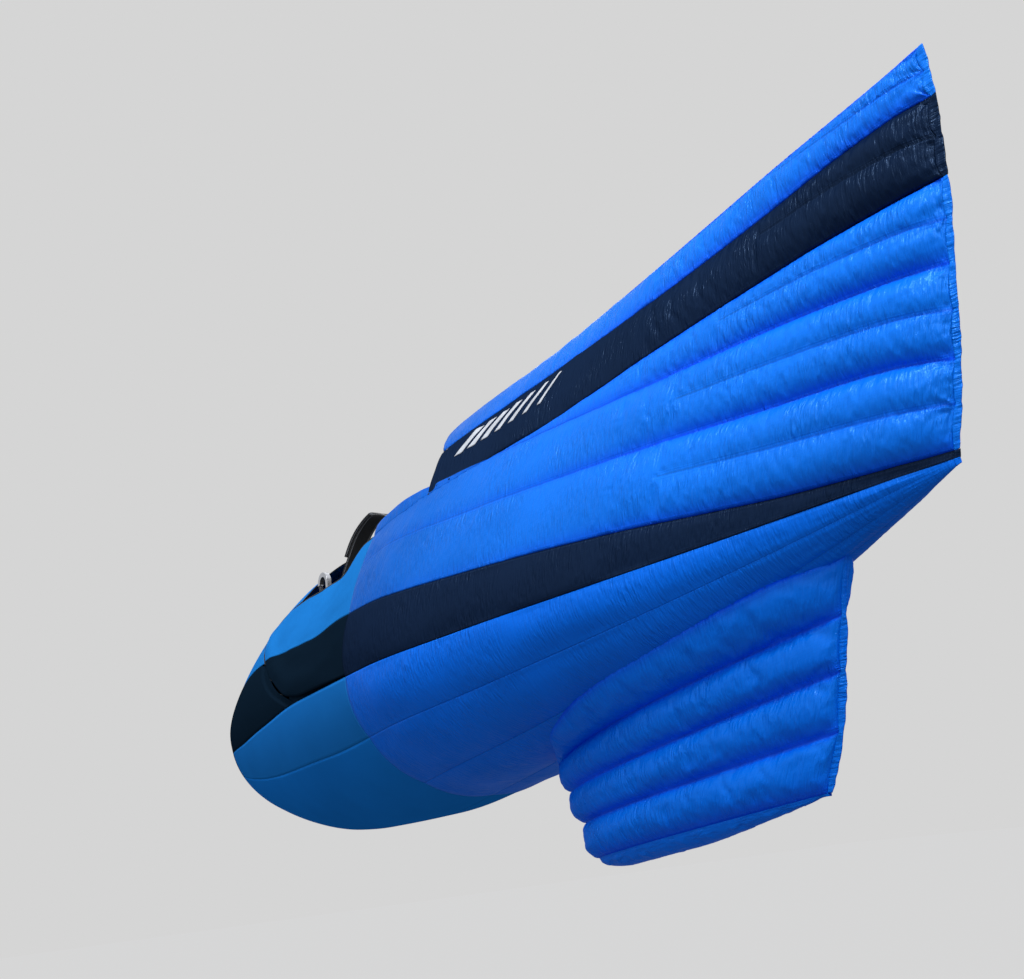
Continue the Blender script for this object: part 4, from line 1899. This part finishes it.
def build_reserve():
    """Container with four flaps closed like an envelope, its pin and the folded canopy."""
    node, slot = "reserve_container", "seat_fabric"
    tray = soft_box(RESERVE_X, RESERVE_Z, RESERVE_HALF, power=9, cols=96, rows=52, seed=1,
                    dent=.0008)
    soft_part("reserve_container_tray", [tray], "seat", node)
    flaps = [container_flap(along_x, sign) for along_x in (True, False) for sign in (1, -1)]
    soft_part("reserve_container_flaps", flaps, "seat", node)
    centre = np.array([RESERVE_X, 0, RESERVE_Z])
    loop = [[-.004, .004, .070], [-.002, .003, .0775], [0, 0, .0795], [.002, -.003, .0775],
            [.004, -.004, .070]]
    pin = [[-.030, 0, .0755], [0, .0005, .0760], [.028, 0, .0755]]
    soft_part("reserve_closing_loop", [tube(centre + loop, .0011, step=.002)], "cord", node)
    soft_part("reserve_closing_pin", [tube(centre + pin, .0016)], "cord", node)
    folds = [soft_box(RESERVE_X, CANOPY_BASE + FOLD_PITCH / 2 + FOLD_PITCH * k,
                      (.088, .112, .0126), power=6, cols=72, rows=20, seed=k, dent=.0012)
             for k in range(5)]
    soft_part("reserve_canopy_folds", folds, "orange", "reserve_parachute")


def build_reserve_handle():
    """Padded webbing loop with a tab below it, on the right side."""
    x0, z0 = 1.690 - ORIGIN_X, .020 - ORIGIN_Z
    angle = full_turn(80)
    c, s = np.cos(angle), np.sin(angle)
    z = z0 + .0275 * s + .0240 * np.sign(s) * np.minimum(1, np.abs(s) * 3)
    loop = np.stack([x0 + .0275 * c, np.full(80, -.206), z], -1)
    x, z = np.meshgrid(x0 + np.linspace(-.024, .024, 20), z0 - .058 + np.linspace(0, .026, 16))
    tab = np.stack([x, np.full(x.shape, -.2045), z], -1)
    parts = [sweep(loop, [0, 1, 0], .0118, .0120, closed=True, power=3.5),
             sheet(tab, .0034, [0, 1, 0])]
    soft_part("reserve_handle_webbing", parts, "web_red", "reserve_handle",
              body="handle")


# ------------------------------------------------------------------ speed cords
BAR_X, BAR_Z = 2.280 - ORIGIN_X, -.118 - ORIGIN_Z
PULLEY_X, PULLEY_Y, PULLEY_Z = 1.900 - ORIGIN_X, .222, -.070 - ORIGIN_Z
CORD_R = .0016


def build_speed_cords():
    """A cord round each pulley to the bar, and a whipped eye round the bar."""
    low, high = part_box("sheave_left")
    radius = (high[2] - low[2]) / 2 - .0022
    for s, label in ((-1, "right"), (1, "left")):
        y = s * PULLEY_Y
        path = [[PULLEY_X + .010, y, PULLEY_Z - radius - .0002]]
        path += [[PULLEY_X + radius * math.cos(q), y, PULLEY_Z + radius * math.sin(q)]
                 for q in np.radians(np.linspace(265, 95, 12))]
        path += [[PULLEY_X + .012, y, PULLEY_Z + radius + .0006],
                 [PULLEY_X + .045, s * .218, PULLEY_Z + .0150],
                 [BAR_X - .260, s * .196, BAR_Z + .030],
                 [BAR_X - .120, s * .110, BAR_Z + .008],
                 [BAR_X - .020, s * .0845, BAR_Z + .002],
                 [BAR_X - .0112, s * .082, BAR_Z + .001]]
        ob = soft_part("speed_cord_" + label, [tube(path, CORD_R, step=.003, sides=10)],
                       "cord", body=None)
        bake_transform(ob)
        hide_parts("speed_cords")
        angle = full_turn(40)
        eye = np.stack([BAR_X + .0098 * np.cos(angle), s * .082 + .0004 * np.sin(angle),
                        BAR_Z + .0098 * np.sin(angle)], -1)
        whipping = [[BAR_X - .0300, s * .0850, BAR_Z + .0026],
                    [BAR_X - .0125, s * .0822, BAR_Z + .0012]]
        soft_part("speed_cord_eye_" + label,
                  [tube(eye, CORD_R, closed=True, sides=10),
                   sweep(whipping, [0, 1, 0], .0052, .0052, power=2, sides=12)],
                  "web", "speed_cords", body="bar")


# ------------------------------------------------------------------ instrument deck cover
def build_deck_cover():
    """Loop pile on top of the instrument deck and the binding round it."""
    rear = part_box("instrument_deck")[0][0] + .002
    front = 2.086 - ORIGIN_X - .012
    half = .089
    a = np.linspace(0, 1, 60)[:, None]
    b = np.linspace(-1, 1, 60)[None, :]
    z = (-.045 + .0016 - .0012 * np.maximum(np.abs(b), np.abs(2 * a - 1)) ** 10
         + .00012 * NOISE[1](a * 20, b * 20))
    grid = np.stack([rear + (front - rear) * a + 0 * b, b * half + 0 * a, z], -1)
    soft_part("instrument_deck_loop_pile", [sheet(grid, .0014, [0, 0, 1])], "pile",
              body="deck")
    corners = np.array([[rear, -half], [front, -half], [front, half], [rear, half]])
    side_steps = 30
    rim = np.array([here + (after - here) * (k + .5) / side_steps
                    for here, after in zip(corners, np.roll(corners, -1, 0))
                    for k in range(side_steps)])
    path = np.stack([rim[:, 0], rim[:, 1], np.full(len(rim), -.0482)], -1)
    soft_part("instrument_deck_binding",
              [sweep(path, [0, 0, 1], .0076, .0030, closed=True, sides=14, power=4)], "web",
              body="deck")


# ------------------------------------------------------------------ bindings and print
def rim_binding(name, x, v, side, radius, node, body="harness"):
    points, normals = raised_skin(x, v, -.0006, side)
    across = unit(np.cross(normals, unit(np.gradient(points, axis=0))))
    part = sweep(points, across, radius * 2.4, radius * 1.3, raw=True, sides=14, power=3)
    soft_part(name, [part], "bind", node, body)


def build_bindings():
    """Bound rims of the hood, the cockpit and the door flaps."""
    hood_v = np.linspace(1.585, 1.995, 90)
    cockpit_v = np.linspace(1.33, 1.995, 120)
    door_x = np.linspace(1.372, 2.118, 130)
    for side, label, _ in SIDES:
        rim_binding("hood_binding_" + label, hood_edge(hood_v) - .0015, hood_v, side, .0026,
                    "dorsal_crown")
        rim_binding("cockpit_binding_" + label, deck_start(cockpit_v) + .0015, cockpit_v, side,
                    .0024, "front_deck")
        rim_binding("door_top_binding_" + label, door_x, door_high(door_x) - .004, side, .0022,
                    "cockpit_door_" + label, "door_" + label)


def build_dorsal_bars():
    """Slanted bars printed on the dorsal stripe, shorter and narrower towards the tail."""
    share = np.linspace(0, 1, 10)[:, None]
    j = np.linspace(0, 1, 16)[None, :]
    for side, label, _ in SIDES:
        bars = []
        for k in range(7):
            low, high = 1.700 + .004 * k, 1.792 + .006 * k
            width = .026 - .0028 * k
            x, v = np.broadcast_arrays(1.090 - .040 * k - width * share - .030 * j,
                                       low + (high - low) * j)
            points, normals = tail_cloth(x, v, 7)
            bars.append(sheet(flip_y(points + normals * .0007, side), .0006, [0, side, 0]))
        soft_part("dorsal_bars_" + label, bars, "print", "dorsal_stripe_" + label)


# ------------------------------------------------------------------ CAD pieces that stay
CAD_MATERIALS = dict(
    gate_rivets="steel", door_magnets="coat", hood_batten="rod", carabiner_left="alloy",
    carabiner_right="alloy", pulley_blocks="alloy", chest_buckle_tongue="alloy",
    deck_bracket="alloy", gate_left="alloy_dark", gate_right="alloy_dark",
    gate_sleeve_left="plastic", gate_sleeve_right="plastic", chest_buckle_socket="plastic",
    speed_bar="plastic", chest_buckle_button="red", sheave_left="acetal",
    sheave_right="acetal", footplate="carbon", instrument_deck="pad_obj")


def dress_cad_pieces():
    for name, mat in CAD_MATERIALS.items():
        ob = NODES[name]
        if ob.material_slots:
            for slot in ob.material_slots:
                slot.material = MATS[mat]
        else:
            ob.data.materials.append(MATS[mat])


# ------------------------------------------------------------------ stage, light, camera
BACKDROP = srgb("#D5D5D5")
# Brightness of the surroundings from straight down (0) to straight up (1)
SKY = [(0.0, .33), (.38, .36), (.50, .47), (.62, .80), (.80, 1.15), (1.0, 1.30)]
FLOOR_Z = -2.6
FLOOR_HALF = 60.0


def build_world(scene):
    """A sky gradient lights the scene; the camera sees the plain backdrop."""
    world = bpy.data.worlds.new("studio")
    scene.world = world
    world.use_nodes = True
    tree = world.node_tree
    sky = tree.nodes["Background"]
    output = [node for node in tree.nodes if node.type == "OUTPUT_WORLD"][0]
    direction = tree.nodes.new("ShaderNodeTexCoord")
    axes = tree.nodes.new("ShaderNodeSeparateXYZ")
    tree.links.new(direction.outputs["Generated"], axes.inputs[0])
    ramp = tree.nodes.new("ShaderNodeValToRGB")
    height = tree.nodes.new("ShaderNodeMapRange")
    height.inputs[1].default_value = -1
    height.inputs[2].default_value = 1
    tree.links.new(axes.outputs[2], height.inputs[0])
    tree.links.new(height.outputs[0], ramp.inputs[0])
    elements = ramp.color_ramp.elements
    while len(elements) < len(SKY):
        elements.new(.5)
    for element, (position, grey) in zip(elements, SKY):
        element.position = position
        element.color = (grey * .97, grey * .985, grey * 1.02, 1)
    tree.links.new(ramp.outputs[0], sky.inputs[0])
    sky.inputs[1].default_value = 1.0
    plain = tree.nodes.new("ShaderNodeBackground")
    plain.inputs[0].default_value = (*BACKDROP, 1)
    path = tree.nodes.new("ShaderNodeLightPath")
    mix = tree.nodes.new("ShaderNodeMixShader")
    tree.links.new(path.outputs["Is Camera Ray"], mix.inputs[0])
    tree.links.new(sky.outputs[0], mix.inputs[1])
    tree.links.new(plain.outputs[0], mix.inputs[2])
    tree.links.new(mix.outputs[0], output.inputs["Surface"])


def build_floor():
    """Flat floor that glows in the backdrop's colour, more brightly to the camera."""
    mesh = bpy.data.meshes.new("floor")
    corners = [(x * FLOOR_HALF, y * FLOOR_HALF, FLOOR_Z)
               for x, y in ((-1, -1), (1, -1), (1, 1), (-1, 1))]
    mesh.from_pydata(corners, [], [(0, 1, 2, 3)])
    floor = add_object("floor", mesh)
    m = Mat("floor_plain")
    m.set(Base_Color=tone(BACKDROP, .10), Roughness=.95, Specular_IOR_Level=.0,
          Emission_Color=BACKDROP)
    to_camera = m.add("ShaderNodeLightPath").outputs["Is Camera Ray"]
    m.set(Emission_Strength=m.math("MULTIPLY_ADD", to_camera, .62, .28))
    mesh.materials.append(m.material)


def area_light(name, at, target, size, power, color=(1, 1, 1)):
    light = bpy.data.lights.new(name, "AREA")
    light.shape = "DISK"
    light.size = size
    light.energy = power
    light.color = color
    ob = add_object(name, light)
    ob.location = at
    aim = Vector(target) - Vector(at)
    ob.rotation_euler = aim.to_track_quat("-Z", "Y").to_euler()


def build_camera(scene):
    """Behind the tail on the left and low, looking forwards, to the right and up."""
    yaw, pitch, roll = .55615, .27213, -.11866
    at = np.array([-1.10077, 1.39114, -.43742]) - ORIGIN
    view = np.array([math.cos(yaw) * math.cos(pitch), -math.sin(yaw) * math.cos(pitch),
                     math.sin(pitch)])
    right = np.cross(view, [0, 0, 1.0])
    right /= np.linalg.norm(right)
    up = np.cross(right, view)
    rolled_right = math.cos(roll) * right + math.sin(roll) * up
    rolled_up = -math.sin(roll) * right + math.cos(roll) * up
    camera = bpy.data.cameras.new("camera")
    camera.sensor_fit = "HORIZONTAL"
    camera.sensor_width = 36
    camera.lens = 45.3178125
    camera.clip_start = .05
    camera.clip_end = 200
    ob = add_object("camera", camera)
    axes = np.stack([rolled_right, rolled_up, -view, at], 1)
    ob.matrix_world = Matrix((*axes.tolist(), (0, 0, 0, 1)))
    scene.camera = ob


def build_studio():
    scene = bpy.context.scene
    scene.view_settings.view_transform = "Standard"
    scene.view_settings.look = "None"
    build_world(scene)
    build_floor()
    area_light("key", at=(-3.1, 2.3, 4.1), target=(-.9, 0, 0), size=1.5, power=188,
               color=(1.0, .985, .96))
    area_light("rim", at=(2.5, -3.0, 3.0), target=(0, 0, 0), size=2.5, power=50)
    area_light("side", at=(-4.2, 1.6, 1.2), target=(-1.2, 0, .05), size=1.2, power=28)
    build_camera(scene)


# ------------------------------------------------------------------ everything in order
build_rear_panels()
tail_points, tail_x, tail_v = simulate_tail()
build_tail(tail_points, tail_x)
build_front()
build_nose()
build_tail_edge(tail_points[0], tail_v[0])
build_doors()
build_fin()
build_webs()
build_bulkhead()
build_inlet_flap()
build_hammock()
build_protector()
build_neck_pad()
build_webbing()
build_reserve()
build_reserve_handle()
build_speed_cords()
build_deck_cover()
build_bindings()
build_dorsal_bars()
dress_cad_pieces()
build_studio()

bpy.context.view_layer.update()
